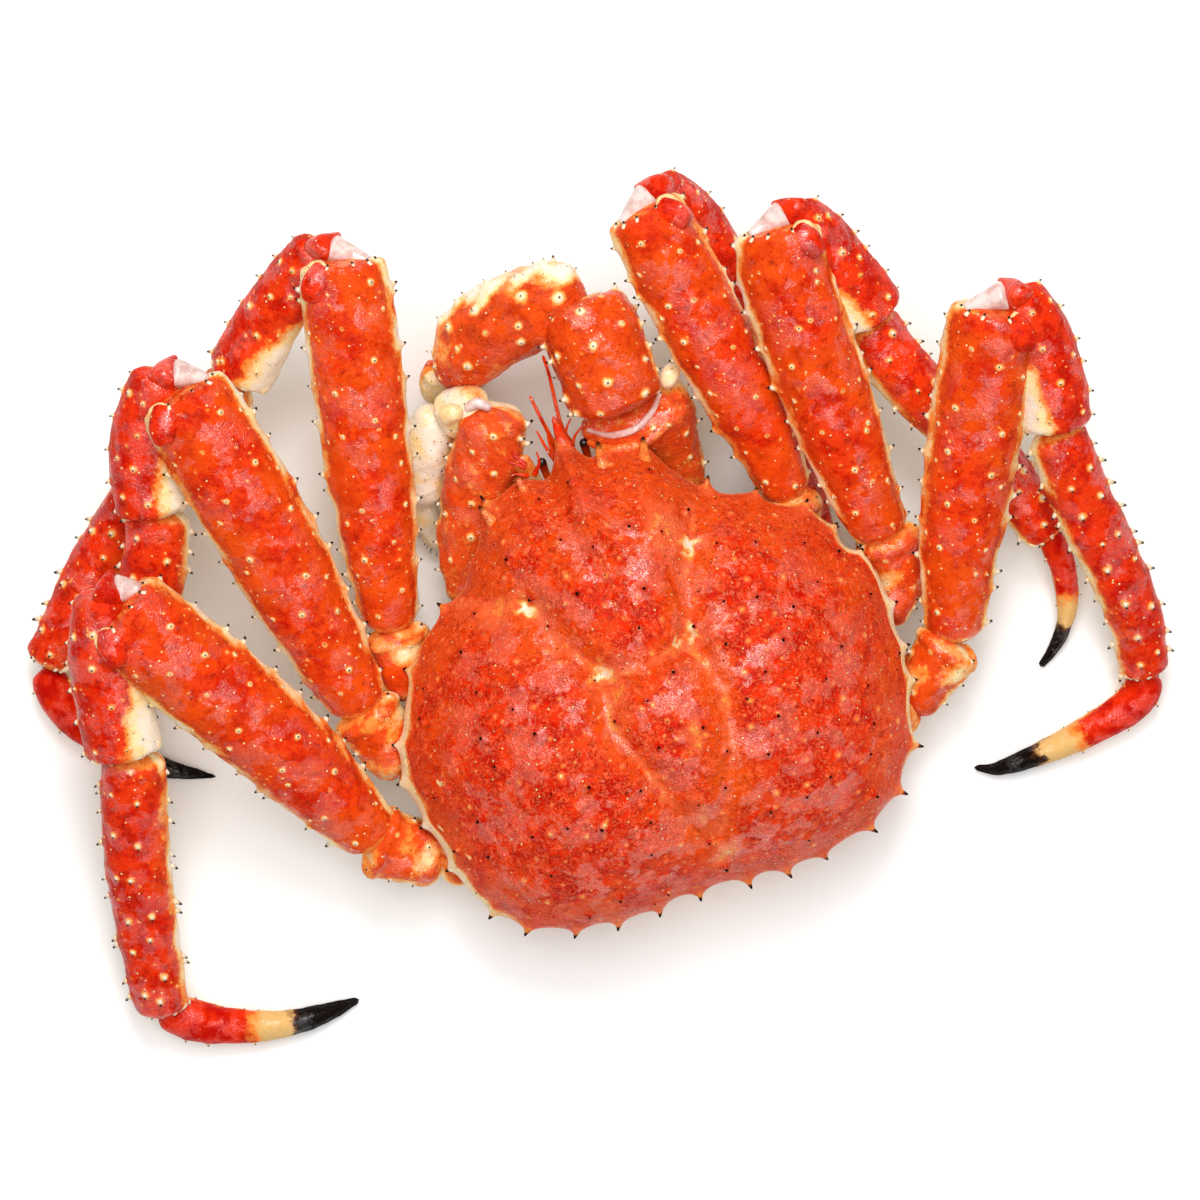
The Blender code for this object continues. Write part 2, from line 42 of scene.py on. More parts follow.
CAMERA_PLACE = np.array((0.5, 6.4, 1600.0))
CAMERA_ANGLE = 16.68

# The body
BODY_CENTRE = np.array((25.7, -44.0))
BODY_TURN = math.radians(20.7)
RIM_HEIGHT = 42.0
FRONT_LIFT = 10.0
RIM_BAND = 4.5
DOME_HEIGHT = 50.0
ABDOMEN_THICKNESS = 7.0
SLAB_GAP = 0.8
SLABS = {
    "thorax": {"centre": (0, 0), "spread": (66, 58, 56), "floor": ABDOMEN_THICKNESS + 0.4},
    "mouth_frame": {"centre": (-2, 79), "spread": (20, 20, 19.5), "floor": 17.0},
    "abdomen": {"centre": (0, -18), "spread": (40, 60, 46), "floor": 0.0, "top": ABDOMEN_THICKNESS},
}

# The edge of the carapace from the beak clockwise: across to the right, and forwards
CARAPACE_EDGE = [
    (0, 113), (9, 104), (27, 101), (36, 89), (45, 77), (58, 71), (67, 64), (81, 54), (87, 39), (94, 30),
    (95, 18), (94, 4), (92, -14), (88, -28), (84, -39), (75, -51), (64, -60), (48, -65), (32, -67),
    (17, -66), (0, -64), (-19, -63), (-34, -64), (-51, -62), (-64, -59), (-78, -52), (-87, -42),
    (-93, -33), (-96, -18), (-99, -2), (-101, 11), (-100, 22), (-95, 33), (-90, 43), (-79, 59),
    (-70, 66), (-55, 75), (-49, 83), (-43, 89), (-38, 97), (-27, 104), (-19, 106), (-10, 103), (-4, 109),
]

# Spines round the edge: across, forwards, and how far each stands out
EDGE_SPINES = [
    (1, 113, 12), (14, 103, 7), (29, 101, 5), (46, 78, 8), (61, 69, 5), (76, 57, 6), (84, 46, 5),
    (90, 34, 4), (94, 12, 5), (93, -4, 5), (91, -17, 5), (84, -40, 7), (72, -54, 7), (57, -63, 7),
    (37, -67, 5), (22, -66, 7), (7, -65, 7), (-11, -63, 6), (-27, -64, 6), (-43, -63, 6), (-59, -60, 6),
    (-76, -53, 6), (-86, -43, 6), (-95, -22, 5), (-99, -4, 5), (-101, 14, 5), (-98, 28, 5), (-84, 53, 5),
    (-63, 70, 6), (-34, 100, 8),
]

# Horns that stand up from the front edge: across, forwards, height
FRONT_HORNS = [(12, 103, 8.5), (28, 100, 7.5), (-20, 105, 6.0), (-36, 98, 7.0), (46, 80, 5.5)]

# Grooves between the swollen regions of the back: depth, half width, then the points it runs through
GROOVES = [
    (4.0, 5.0, [(-32, 60), (-28, 44), (-17, 27)]),
    (3.5, 5.0, [(-17, 27), (-6, 25), (7, 25), (18, 26)]),
    (4.0, 5.0, [(18, 26), (21, 33), (22, 41), (25, 52), (32, 59), (36, 74)]),
    (4.0, 5.0, [(-17, 27), (-20, 7), (-15, -7), (-10, -25), (-5, -44)]),
    (3.5, 5.0, [(18, 26), (23, 6), (20, -10), (15, -23), (4, -44)]),
    (3.0, 5.0, [(-32, 60), (-44, 65), (-58, 70)]),
]

# Swollen regions: across, forwards, spread across, spread forwards, height
SWELLINGS = [
    (-3, 66, 22, 30, 4.0), (2, 6, 16, 20, 4.0), (-58, 0, 34, 40, 5.0), (58, 4, 30, 42, 5.0),
    (-58, 46, 18, 14, 3.0), (58, 50, 18, 14, 3.0),
]

# Pale spots where grooves meet: across, forwards, half width
PALE_SPOTS = [(-35, 60, 3.4), (31, 60, 3.6), (-17, 27, 4.2), (20, 29, 3.2), (14, 29, 2.4)]

# Larger and fainter pale patches: across, forwards, half width each way
PALE_PATCHES = [
    (6, -6, 7, 5), (-1, -35, 5, 9), (4, -52, 8, 6), (24, 70, 7, 12), (-44, 62, 12, 6), (-14, 16, 5, 8),
]

# The larger spines on the back: across, forwards
BACK_SPINES = [
    (11, -4), (-6, -5), (-4, 12), (-47, 15), (-17, 9), (16, -15), (24, -42), (-23, -41), (-60, -36),
    (-48, -21), (50, 15), (50, -21), (35, 36), (9, 51), (-14, 58), (-2, 72), (12, 74), (2, 38), (-66, 20),
    (70, 30), (74, -12), (-78, -8), (0, -30), (34, -58), (-40, -54), (66, -36), (-62, 52), (54, 52),
]

# Half width and half depth of each kind of limb segment, by the share of its length from the body outwards
PROFILES = {
    "coxa": [(0, 9.0, 8.0), (0.5, 10.6, 8.8), (1, 10.4, 8.8)],
    "ischium": [(0, 9.2, 8.2), (0.5, 10.8, 9.0), (1, 12.0, 9.8)],
    "merus": [(0, 9.4, 8.2), (0.12, 11.8, 9.8), (0.38, 15.8, 12.6), (0.7, 17.2, 13.3), (0.92, 16.6, 12.8),
              (1, 15.0, 11.4)],
    "carpus": [(0, 8.4, 7.4), (0.25, 10.6, 9.2), (0.6, 12.6, 10.6), (0.9, 13.2, 11.2), (1, 12.4, 10.4)],
    "propodus": [(0, 9.2, 8.2), (0.1, 11.2, 9.6), (0.5, 11.2, 9.6), (0.9, 9.8, 8.4), (1, 8.8, 7.6)],
    "dactyl": [(0, 5.0, 4.6), (0.12, 7.0, 5.6), (0.5, 5.2, 4.4), (0.8, 2.9, 2.7), (0.93, 1.3, 1.2),
               (1, 0.2, 0.2)],
}

# Length of the rounded inner and outer end of each kind of segment
ENDS = {
    "coxa": (5.0, 5.0), "ischium": (6.0, 5.0), "merus": (8.0, 3.5), "carpus": (6.0, 4.0),
    "propodus": (6.0, 4.5), "dactyl": (4.0, 1.0),
}

# The part of a run along a segment that each of its round ends takes up
END_SHARE = 1 / 6

# Where along a segment the rim of its joint lies
JOINT_SHARE = 0.985

# Each walking leg: how stout it is, then the points that each segment runs through, from the body outwards
LEGS = {
    "left_front": (0.95, {
        "coxa": [(-44, -38, 23), (-73, -33, 27)],
        "ischium": [(-71, -35, 27), (-79, -8, 36)],
        "merus": [(-79.5, -9, 36), (-83, 20, 48), (-91, 89, 70), (-96, 130, 80)],
        "carpus": [(-103.5, 136, 76), (-119, 117, 60), (-130, 101, 48), (-138, 87, 39)],
        "propodus": [(-138, 89, 36), (-185, 31, 22), (-215, -23, 14)],
        "dactyl": [(-215, -23, 12), (-208, -40, 8), (-191, -53, 6), (-171, -62, 4.4), (-150, -66, 1.7)],
    }),
    "left_middle": (1.04, {
        "coxa": [(-40, -58, 23), (-76, -60, 27)],
        "ischium": [(-74, -62, 26), (-91, -38, 36)],
        "merus": [(-90, -40, 36), (-100, -21, 45), (-131, 38, 70), (-156, 81, 85)],
        "carpus": [(-162, 88, 83), (-169, 70, 74), (-170, 52, 66), (-167, 35, 60)],
        "propodus": [(-165.5, 38, 58), (-170, 9, 47), (-179, -24, 34), (-185, -53, 25)],
        "dactyl": [(-185, -52, 22), (-185, -75, 12), (-181, -100, 6), (-175, -124, 1.8)],
    }),
    "left_back": (1.06, {
        "coxa": [(-28, -79, 23), (-63, -96, 27)],
        "ischium": [(-60, -98, 27), (-87, -88, 34)],
        "merus": [(-84, -90, 34), (-95, -78, 41), (-129, -43, 64), (-179, 0, 88)],
        "carpus": [(-183, 7, 89), (-185, -12, 83), (-182, -34, 73), (-177, -56, 65)],
        "propodus": [(-175.5, -53, 63), (-176, -92, 44), (-174, -122, 29), (-169, -157, 14)],
        "dactyl": [(-171, -155, 12), (-152, -162, 8.5), (-132, -163, 6.5), (-113, -160, 4.4),
                   (-94, -153, 1.8)],
    }),
    "right_front": (0.88, {
        "coxa": [(53, -5, 23), (77, 14, 25)],
        "ischium": [(78, 11, 25), (74, 25, 26), (72, 44, 33)],
        "merus": [(72, 41, 33), (64, 62, 44), (44.5, 96, 62), (15, 149, 83)],
        "carpus": [(20, 157.5, 79.5), (33, 148.5, 65), (43.8, 131, 50.3), (52, 109, 37.5)],
        "propodus": [(51.5, 112, 35), (67.5, 72, 21), (83.5, 24, 11)],
        "dactyl": [(83, 28, 10), (87, 3, 7), (83, -21, 4.6), (73, -41, 1.6)],
    }),
    "right_middle": (0.96, {
        "coxa": [(75, -12, 23), (109, 0, 25)],
        "ischium": [(106, -3, 25), (113.5, 12, 27), (110, 30, 36)],
        "merus": [(109, 26, 36.5), (98.5, 48, 48), (72, 114, 75), (65, 142, 85)],
        "carpus": [(71, 149, 83), (83.5, 135, 74), (94.5, 121, 65), (103, 109, 57)],
        "propodus": [(100.5, 110, 54), (116, 88, 46), (149, 58, 34), (173.5, 27, 23)],
        "dactyl": [(173, 30, 21), (180, 13, 15), (181.5, -1, 9.5), (178, -14, 4.5), (172, -23, 1.2)],
    }),
    "right_back": (0.97, {
        "coxa": [(82, -41, 23), (121, -36, 26)],
        "ischium": [(118, -38, 25.5), (135, -12, 35)],
        "merus": [(135, -13, 35), (136.5, 26, 50), (141.5, 76, 71), (146, 112, 88)],
        "carpus": [(153.5, 118, 90), (162.5, 103, 82), (168, 85, 73), (171, 67, 65)],
        "propodus": [(170, 69, 63), (182.5, 41, 50), (203, 3, 29), (211.5, -26, 14)],
        "dactyl": [(213, -24, 12), (207, -37, 9), (184.5, -51, 7), (158, -62, 4.3), (146, -62.5, 1.7)],
    }),
}
SLIM = {"leg_right_middle_dactyl": 0.68}

# Claw limbs: length of the round ends, half width and depth by share, then the points
CLAWS = {
    "claw_right_basis": (5, [(0, 9, 8), (1, 11, 9)], [(35.5, 7, 20), (32.5, 37, 19)]),
    "claw_right_merus": (7, [(0, 10, 8.5), (0.3, 12, 9.5), (0.8, 16, 13), (1, 16.5, 12)],
                         [(32.5, 33, 19), (28.5, 50, 22), (23, 66, 33), (16, 80, 50)]),
    "claw_right_carpus": (7, [(0, 14, 11), (0.2, 17.5, 15), (0.8, 17.5, 16), (1, 15, 14)],
                          [(7, 74, 54), (0, 96, 61), (-9, 116, 60)]),
    "claw_right_palm": (8, [(0, 12, 12), (0.2, 15, 16), (0.5, 14, 15.5), (0.62, 11, 10.5), (0.78, 7, 7),
                            (0.93, 4, 4), (1, 2.4, 2.4)],
                        [(-5, 118, 55), (-21, 114, 57), (-39, 107, 54), (-52, 95, 42), (-51, 91, 24),
                         (-43, 92, 3)]),
    "claw_right_finger": (4, [(0, 6.5, 6), (0.3, 6.2, 5.5), (0.8, 4, 3.6), (1, 2, 1.8)],
                          [(-61, 92, 34), (-63, 83, 18), (-54, 78, 2.4)]),
    "claw_left_basis": (5, [(0, 9, 8), (1, 10, 9)], [(-20.5, -7, 20), (-48.5, 4, 20)]),
    "claw_left_merus": (7, [(0, 9, 8), (0.2, 11, 9), (0.6, 13.5, 12), (0.9, 13, 12), (1, 11.5, 10)],
                        [(-48.5, 1, 20), (-50.5, 20, 25), (-48, 40, 33), (-42.5, 60, 43), (-41, 76, 54)]),
    "claw_left_carpus": (5, [(0, 8, 7), (0.5, 9.5, 8.5), (1, 9, 8)], [(-43, 77, 52), (-60, 72, 40)]),
    "claw_left_palm": (6, [(0, 8, 7), (0.4, 10, 9), (0.8, 9, 8), (1, 7, 6)],
                       [(-60, 75, 39), (-68, 59, 30), (-69, 39, 20)]),
    "claw_left_finger": (4, [(0, 5, 4.5), (0.5, 4.4, 4), (1, 2, 1.8)],
                         [(-69, 41, 17), (-65, 30, 9), (-58, 20, 2.4)]),
}

# Small pieces at the front, built as the claw limbs are
EYE_PROFILE = [(0, 1.5, 1.5), (0.5, 1.5, 1.5), (1, 1.9, 1.9)]
ANTENNA_PROFILE = [(0, 1.9, 1.9), (0.25, 1.5, 1.5), (0.4, 0.9, 0.9), (1, 0.6, 0.6)]
MOUTHPART_PROFILE = [(0, 6.0, 5.0), (0.6, 6.4, 5.0), (1, 4.0, 3.0)]
FRONT_PIECES = {
    "eye_left": (2.2, EYE_PROFILE, [(-18, 46, 38), (-20.5, 51, 42), (-22.5, 56.5, 48)]),
    "eye_right": (2.2, EYE_PROFILE, [(-3, 50, 38), (-4.5, 57, 42), (-6.5, 64, 48)]),
    "antenna_left": (1.0, ANTENNA_PROFILE, [(-14, 50, 40), (-16.5, 60, 43), (-23, 73, 52), (-26.5, 80, 56)]),
    "antenna_right": (1.0, ANTENNA_PROFILE,
                      [(-9.5, 50, 40), (-11.5, 62, 43), (-15, 70, 47), (-19, 87, 57), (-21.5, 95, 60)]),
    "antennal_scale_left": (2.0, [(0, 2.6, 2.0), (0.5, 3.8, 2.0), (1, 3.0, 1.6)],
                            [(-20.8, 41, 36), (-26.2, 49.4, 42.3), (-30.2, 57, 51.6)]),
    "antennal_scale_right": (2.0, [(0, 2.8, 2.0), (0.5, 4.6, 2.2), (1, 3.4, 1.8)],
                             [(2, 48, 37), (3, 58, 43), (4, 66, 50)]),
    "mouthpart_left": (3.0, MOUTHPART_PROFILE, [(1, 1, 14), (-8, 24, 12), (-15, 43, 17)]),
    "mouthpart_right": (3.0, MOUTHPART_PROFILE, [(17, 7, 14), (6, 30, 12), (-3, 48, 17)]),
}

# Which way the top of a limb faces. The right claw's palm hangs down, with its top to the front
TOP_FACES = {"claw_right_palm": (0.0, 1.0, 0.0), "claw_right_finger": (0.0, 1.0, 0.0)}
LIMB_TOP = (0.0, 0.0, 1.0)

# Rows of large tubercles on each kind of segment: degrees from its outer edge over its top, first and last
# share, number, half width and height of the mound, half width and height of its spine, lean to the far end
TUBERCLE_ROWS = {
    "coxa": [
        (60, 0.3, 0.8, 2, 1.6, 0.9, 0.4, 0.7, 0.0), (120, 0.3, 0.8, 2, 1.6, 0.9, 0.4, 0.7, 0.0),
    ],
    "ischium": [
        (10, 0.3, 0.9, 3, 2.0, 1.4, 0.8, 1.6, 0.3), (70, 0.3, 0.8, 2, 1.6, 0.8, 0.4, 0.7, 0.0),
        (170, 0.3, 0.9, 3, 2.0, 1.4, 0.8, 1.6, 0.3),
    ],
    "merus": [
        (0, 0.07, 0.95, 10, 2.2, 1.9, 0.95, 1.9, 0.4), (180, 0.07, 0.95, 10, 2.2, 1.9, 0.95, 1.9, 0.4),
        (62, 0.14, 0.9, 6, 1.3, 0.9, 0.42, 0.7, 0.5), (104, 0.08, 0.84, 6, 1.3, 0.9, 0.42, 0.7, 0.5),
        (140, 0.2, 0.85, 5, 1.1, 0.6, 0.36, 0.6, 0.4), (30, 0.2, 0.85, 5, 1.1, 0.6, 0.36, 0.6, 0.4),
    ],
    "carpus": [
        (4, 0.08, 0.92, 6, 1.6, 1.0, 0.75, 1.7, 0.5), (45, 0.2, 0.85, 3, 1.5, 0.9, 0.45, 0.9, 0.4),
        (85, 0.15, 0.85, 4, 1.6, 1.0, 0.5, 1.1, 0.4), (120, 0.3, 0.85, 2, 1.5, 0.8, 0.4, 0.7, 0.2),
    ],
    "propodus": [
        (2, 0.08, 0.93, 10, 1.7, 1.1, 1.0, 2.5, 0.7), (178, 0.08, 0.95, 10, 1.6, 1.0, 0.95, 2.4, 0.7),
        (58, 0.12, 0.86, 6, 1.6, 1.1, 0.65, 1.3, 1.2), (98, 0.16, 0.92, 7, 1.8, 1.4, 0.75, 1.6, 1.3),
    ],
    "dactyl": [
        (178, 0.1, 0.5, 5, 0.9, 0.4, 0.4, 1.1, 0.7), (2, 0.12, 0.45, 3, 1.1, 0.6, 0.5, 1.4, 0.7),
    ],
    "claw_right_carpus": [
        (12, 0.12, 0.92, 6, 2.2, 1.5, 0.9, 1.9, 0.2), (168, 0.12, 0.92, 6, 2.2, 1.4, 0.8, 1.6, 0.2),
        (45, 0.15, 0.9, 4, 1.8, 1.2, 0.45, 0.8, 0.2), (85, 0.1, 0.85, 4, 1.8, 1.2, 0.45, 0.8, 0.2),
        (128, 0.15, 0.9, 4, 1.8, 1.2, 0.45, 0.8, 0.2),
    ],
    "claw_right_palm": [
        (92, 0.04, 0.6, 8, 2.0, 1.2, 0.8, 1.7, 0.1), (40, 0.03, 0.6, 7, 3.0, 2.2, 0.4, 0.7, 0.1),
        (12, 0.1, 0.6, 5, 2.7, 1.9, 0.5, 0.9, 0.1), (345, 0.1, 0.6, 5, 1.8, 1.1, 0.5, 0.8, 0.1),
        (318, 0.15, 0.6, 4, 1.8, 1.0, 0.4, 0.6, 0.1),
    ],
    "claw_right_merus": [
        (10, 0.4, 0.9, 3, 2.0, 1.2, 0.8, 1.8, 0.3), (70, 0.3, 0.9, 3, 1.6, 0.9, 0.4, 0.7, 0.1),
        (120, 0.3, 0.9, 4, 1.6, 0.9, 0.4, 0.7, 0.1), (170, 0.4, 0.9, 3, 2.0, 1.2, 0.8, 1.8, 0.3),
    ],
    "claw_left_merus": [
        (4, 0.25, 0.95, 8, 1.9, 1.4, 1.0, 2.6, 0.5), (30, 0.3, 0.9, 5, 1.6, 1.0, 0.8, 1.8, 0.5),
        (176, 0.2, 0.88, 8, 1.7, 1.1, 0.7, 1.5, 0.3), (90, 0.2, 0.9, 5, 1.7, 1.1, 0.45, 0.8, 0.1),
        (130, 0.25, 0.85, 4, 1.5, 0.9, 0.4, 0.7, 0.1),
    ],
    "claw_left_palm": [
        (170, 0.2, 0.8, 3, 1.6, 0.8, 0.5, 1.2, 0.2), (90, 0.2, 0.8, 4, 1.5, 0.8, 0.35, 0.6, 0.2),
    ],
    "claw_left_finger": [
        (0, 0.1, 0.9, 9, 0.4, 0.1, 0.3, 2.6, 0.6), (30, 0.1, 0.9, 8, 0.4, 0.1, 0.3, 2.2, 0.6),
    ],
    "claw_left_carpus": [
        (90, 0.2, 0.8, 3, 1.5, 0.9, 0.4, 0.8, 0.2), (140, 0.2, 0.8, 3, 1.5, 0.9, 0.4, 0.8, 0.2),
    ],
}

# Low pale dots scattered over each kind of segment, for each square centimetre of its top
DOT_DENSITY = {
    "coxa": 2.4, "ischium": 2.4, "merus": 3.6, "carpus": 3.0, "propodus": 3.2, "dactyl": 0.8,
    "claw_right_carpus": 4.0, "claw_right_palm": 4.0, "claw_left_merus": 4.0,
}
CLAW_DOT_DENSITY = 2.0

# Soft skin and cream knobs at the claws' joints, for the piece that each belongs to: its points, half widths
# at its first end, middle and last end, how far it is skin, and how pale
CLAW_JOINTS = {
    "claw_right_merus": [
        ([(-7, 70, 44), (4, 67, 47), (15, 69, 48), (23, 78, 47)], (5.0, 7.5, 5.0), 0.0, 0.3),
        ([(-5, 67.5, 50.5), (4, 65.2, 54.2), (13, 67.5, 55.4), (19.5, 74, 54), (23, 82, 51.5)],
         (0.8, 1.5, 0.9), 0.8, 0.2),
        ([(-5, 63, 48), (5, 60, 51.6), (16, 62.5, 53), (25, 70, 52), (29, 80, 49)],
         (1.2, 2.4, 1.8), 0.0, 0.35),
        ([(24, 83, 55), (26.5, 88, 55), (28, 92, 53)], (2.4, 3.6, 2.4), 0.0, 0.95),
    ],
    "claw_left_merus": [
        ([(-41, 75, 57), (-46, 77, 57), (-51, 75, 55)], (1.4, 2.2, 1.6), 1.0, 0.0),
        ([(-52, 72, 56), (-56, 73.5, 55), (-60, 71, 52)], (3.0, 3.6, 2.6), 0.0, 0.8),
    ],
}

# Thin red points and threads between the claws, for the piece that each belongs to
FRONT_TINES = {
    "antennal_scale_left": [
        [(-28, 53, 50), (-32, 54.5, 52), (-35, 55, 53)], [(-28, 54, 51), (-31.5, 57, 53), (-34, 59.5, 54)],
        [(-27, 50, 49), (-31, 50.5, 51), (-34, 50, 52)], [(-25, 50, 48), (-23, 55, 51), (-24, 59, 53)],
        [(-22, 45, 45), (-26, 47, 49), (-31, 46.5, 50)],
    ],
    "antenna_left": [
        [(-15, 54, 42), (-19, 62, 47), (-20, 68, 50)], [(-16, 55, 43), (-20, 60, 47), (-24, 67, 51)],
    ],
    "antenna_right": [
        [(-10, 56, 43), (-10, 64, 47), (-6.5, 69, 51)], [(-11, 58, 43), (-13, 66, 48), (-11, 72, 52)],
    ],
}

# The small forms of the back: dark knobs, how far apart they are at least, and pale dots on a golden spiral
KNOB_COUNT = 78
KNOB_GAP = 11
DOT_COUNT = 900
GOLDEN_TURN = 0.381966

# Distance between the points of a limb, then how many points go round the body's pieces and from their top
# to below. The rim of the carapace lies at the share RIM_RUN of that way
POINT_SPACING = 0.95
FRONT_SPACING = 0.5
MOUTHPART_SPACING = 1.0
CARAPACE_AROUND = 560
CARAPACE_RINGS = 144
UNDER_RINGS = 12
RIM_RUN = 0.76
SLAB_AROUND = 90
SLAB_RINGS = 45

# How each shell looks: warmth, share of dark specks, painted rust-red shade on its sides, painted highlight
# on its squiggles, salmon tone of pale patches with painted sheen on wet patches, and bumpiness
SHELL_LOOKS = {
    "carapace_shell": (0.0, 0.6, 0.1, 0.4, 1.0, 0.9),
    "leg_shell": (0.08, 0.5, 0.5, 0.1, 0.15, 0.45),
    "claw_shell": (0.2, 0.7, 0.5, 0.15, 0.2, 0.55),
}

# The studio, in metres and watts. Each light: name, place, size, power
FLOOR_HALF = 4.0
LIGHTS = [
    ("overhead", (-0.05, 0.2, 1.9), 1.3, 23),
    ("key", (0.0, 0.9, 1.4), 0.45, 12),
    ("fill", (0.5, -0.9, 1.3), 0.6, 3),
]
WORLD_STRENGTH = 0.36


def srgb(red, green, blue):
    """A colour on the 0 to 255 scale of a picture, as the linear values that a shader takes."""
    parts = np.array((red, green, blue)) / 255
    linear = np.where(parts <= 0.04045, parts / 12.92, ((parts + 0.055) / 1.055) ** 2.4)
    return (*linear, 1.0)


SCARLET = srgb(226, 44, 6)
ORANGE = srgb(228, 76, 10)
DEEP_RED = srgb(190, 14, 2)
RUST = srgb(150, 32, 3)
AMBER = srgb(246, 140, 56)
CREAM = srgb(246, 214, 152)
BONE = srgb(238, 224, 204)
TAN = srgb(226, 180, 110)
BROWN = srgb(84, 40, 18)
SPINE_BLACK = srgb(18, 10, 8)
SPECK = srgb(84, 16, 4)
SKIN = srgb(228, 208, 200)
SKIN_FOLD = srgb(208, 168, 158)
# Salmon pink: the tone of faint pale patches, and the painted highlight and sheen on wrinkles and wet
# patches
SALMON_AND_GLINT = srgb(250, 112, 66)
FLOOR_WHITE = srgb(250, 250, 250)
FLOOR_GREY = srgb(248, 248, 248)


def smooth_line(points, closed=False, steps=24):
    """A Catmull-Rom curve through the points, as rows of close samples."""
    points = np.array(points, float)
    if closed:
        padded = np.vstack([points[-1:], points, points[:2]])
    else:
        padded = np.vstack([2 * points[:1] - points[1:2], points, 2 * points[-1:] - points[-2:-1]])
    rows = []
    for a, b, c, d in zip(padded, padded[1:], padded[2:], padded[3:]):
        for t in np.arange(steps) / steps:
            rows.append(b + 0.5 * t * (c - a + t * (2 * a - 5 * b + 4 * c - d + t * (3 * (b - c) + d - a))))
    if not closed:
        rows.append(points[-1])
    return np.array(rows)


def lengths_along(line):
    return np.concatenate([[0], np.cumsum(np.linalg.norm(np.diff(line, axis=0), axis=1))])


def read_line(line, shares):
    """Points at the given shares of the line's length, carried straight on past its ends."""
    run = lengths_along(line)
    want = shares * run[-1]
    found = np.stack([np.interp(want, run, column) for column in line.T], axis=-1)
    start = line[1] - line[0]
    end = line[-1] - line[-2]
    found += np.minimum(want, 0)[..., None] * start / np.linalg.norm(start)
    found += np.maximum(want - run[-1], 0)[..., None] * end / np.linalg.norm(end)
    return found


def unit(rows):
    return rows / np.maximum(np.linalg.norm(rows, axis=-1, keepdims=True), 1e-9)


def signed_power(value, power):
    return np.sign(value) * np.abs(value) ** power


def smooth_step(low, high, value):
    t = np.clip((value - low) / (high - low), 0, 1)
    return t * t * (3 - 2 * t)


def ripple(points, length, seed):
    """Smooth unevenness round 0, mostly between -1 and 1, with features of about the given length."""
    random = np.random.default_rng(seed)
    total = np.zeros(points.shape[:-1])
    for _ in range(7):
        way = unit(random.normal(size=3))
        pitch = 2 * np.pi / (length * random.uniform(0.8, 1.9))
        total += np.sin(points @ way * pitch + random.uniform(0, 2 * np.pi))
    return total / 4


def make_limb(name, kind, stout, ends, profile, points):
    line = smooth_line(points)
    return {"name": name, "kind": kind, "stout": stout, "ends": ends, "line": line,
            "length": lengths_along(line)[-1], "profile": smooth_line(profile, steps=8),
            "up": TOP_FACES.get(name, LIMB_TOP), "mirror": "right" in name}


def limb_share(limb, run):
    """The share of the limb's length at which each run from 0 to 1 lies. Runs crowd at the round ends."""
    near = np.clip(run / END_SHARE, 0, 1)
    far = np.clip((1 - run) / END_SHARE, 0, 1)
    middle = np.clip((run - END_SHARE) / (1 - 2 * END_SHARE), 0, 1)
    first, last = np.array(limb["ends"]) / limb["length"]
    share = first * (1 - np.cos(near * np.pi / 2)) + (1 - first - last) * middle
    shrink = np.sin(near * np.pi / 2) * np.sin(far * np.pi / 2)
    return share + last * np.cos(far * np.pi / 2), shrink


def limb_points(limb, degrees, run):
    """Points on a limb segment. degrees go round it from its outer edge over its top."""
    share, shrink = limb_share(limb, run)
    stations, widths, depths = limb["profile"].T
    half_width = np.interp(share, stations, widths) * limb["stout"]
    half_depth = np.interp(share, stations, depths) * limb["stout"]
    step = 0.02
    centre = read_line(limb["line"], share)
    forward = unit(read_line(limb["line"], share + step) - read_line(limb["line"], share - step))
    across = unit(np.cross(forward, limb["up"]))
    above = np.cross(across, forward)
    angle = np.radians(degrees)
    side = -1 if limb["mirror"] else 1
    wide = side * signed_power(np.cos(angle), 0.85)
    deep = signed_power(np.sin(angle), 0.85)
    sideways = across * (wide * half_width * shrink)[..., None]
    upwards = above * (deep * half_depth * shrink)[..., None]
    return centre + sideways + upwards


def run_at(limb, share):
    runs = np.linspace(0, 1, 400)
    return np.interp(share, limb_share(limb, runs)[0], runs)


def body_to_floor(across, forwards):
    """From the crab's own across and forwards to the floor's X and Y."""
    cos, sin = math.cos(BODY_TURN), math.sin(BODY_TURN)
    x = BODY_CENTRE[0] + across * cos - forwards * sin
    y = BODY_CENTRE[1] + across * sin + forwards * cos
    return x, y


def rim_height(forwards):
    return RIM_HEIGHT + FRONT_LIFT * smooth_step(35, 105, forwards)


def distance_to_line(across, forwards, points):
    best = np.full(np.shape(across), np.inf)
    for (ax, ay), (bx, by) in zip(points, points[1:]):
        run_x, run_y = bx - ax, by - ay
        t = np.clip(((across - ax) * run_x + (forwards - ay) * run_y) / (run_x**2 + run_y**2), 0, 1)
        best = np.minimum(best, np.hypot(across - ax - t * run_x, forwards - ay - t * run_y))
    return best


def back_relief(across, forwards):
    """How far the regions of the back swell, less the grooves between them."""
    height = np.zeros(np.shape(across))
    for x, y, wide, deep, rise in SWELLINGS:
        height += rise * np.exp(-(((across - x) / wide) ** 2) - ((forwards - y) / deep) ** 2)
    for depth, half_width, points in GROOVES:
        height -= depth * np.exp(-((distance_to_line(across, forwards, points) / half_width) ** 2))
    return height


EDGE_LINE = smooth_line(CARAPACE_EDGE, closed=True)
EDGE_BEARING = np.arctan2(EDGE_LINE[:, 1], EDGE_LINE[:, 0])
EDGE_REACH = np.hypot(EDGE_LINE[:, 0], EDGE_LINE[:, 1])


def carapace_edge_at(turn):
    return read_line(np.vstack([EDGE_LINE, EDGE_LINE[:1]]), 1 - turn)


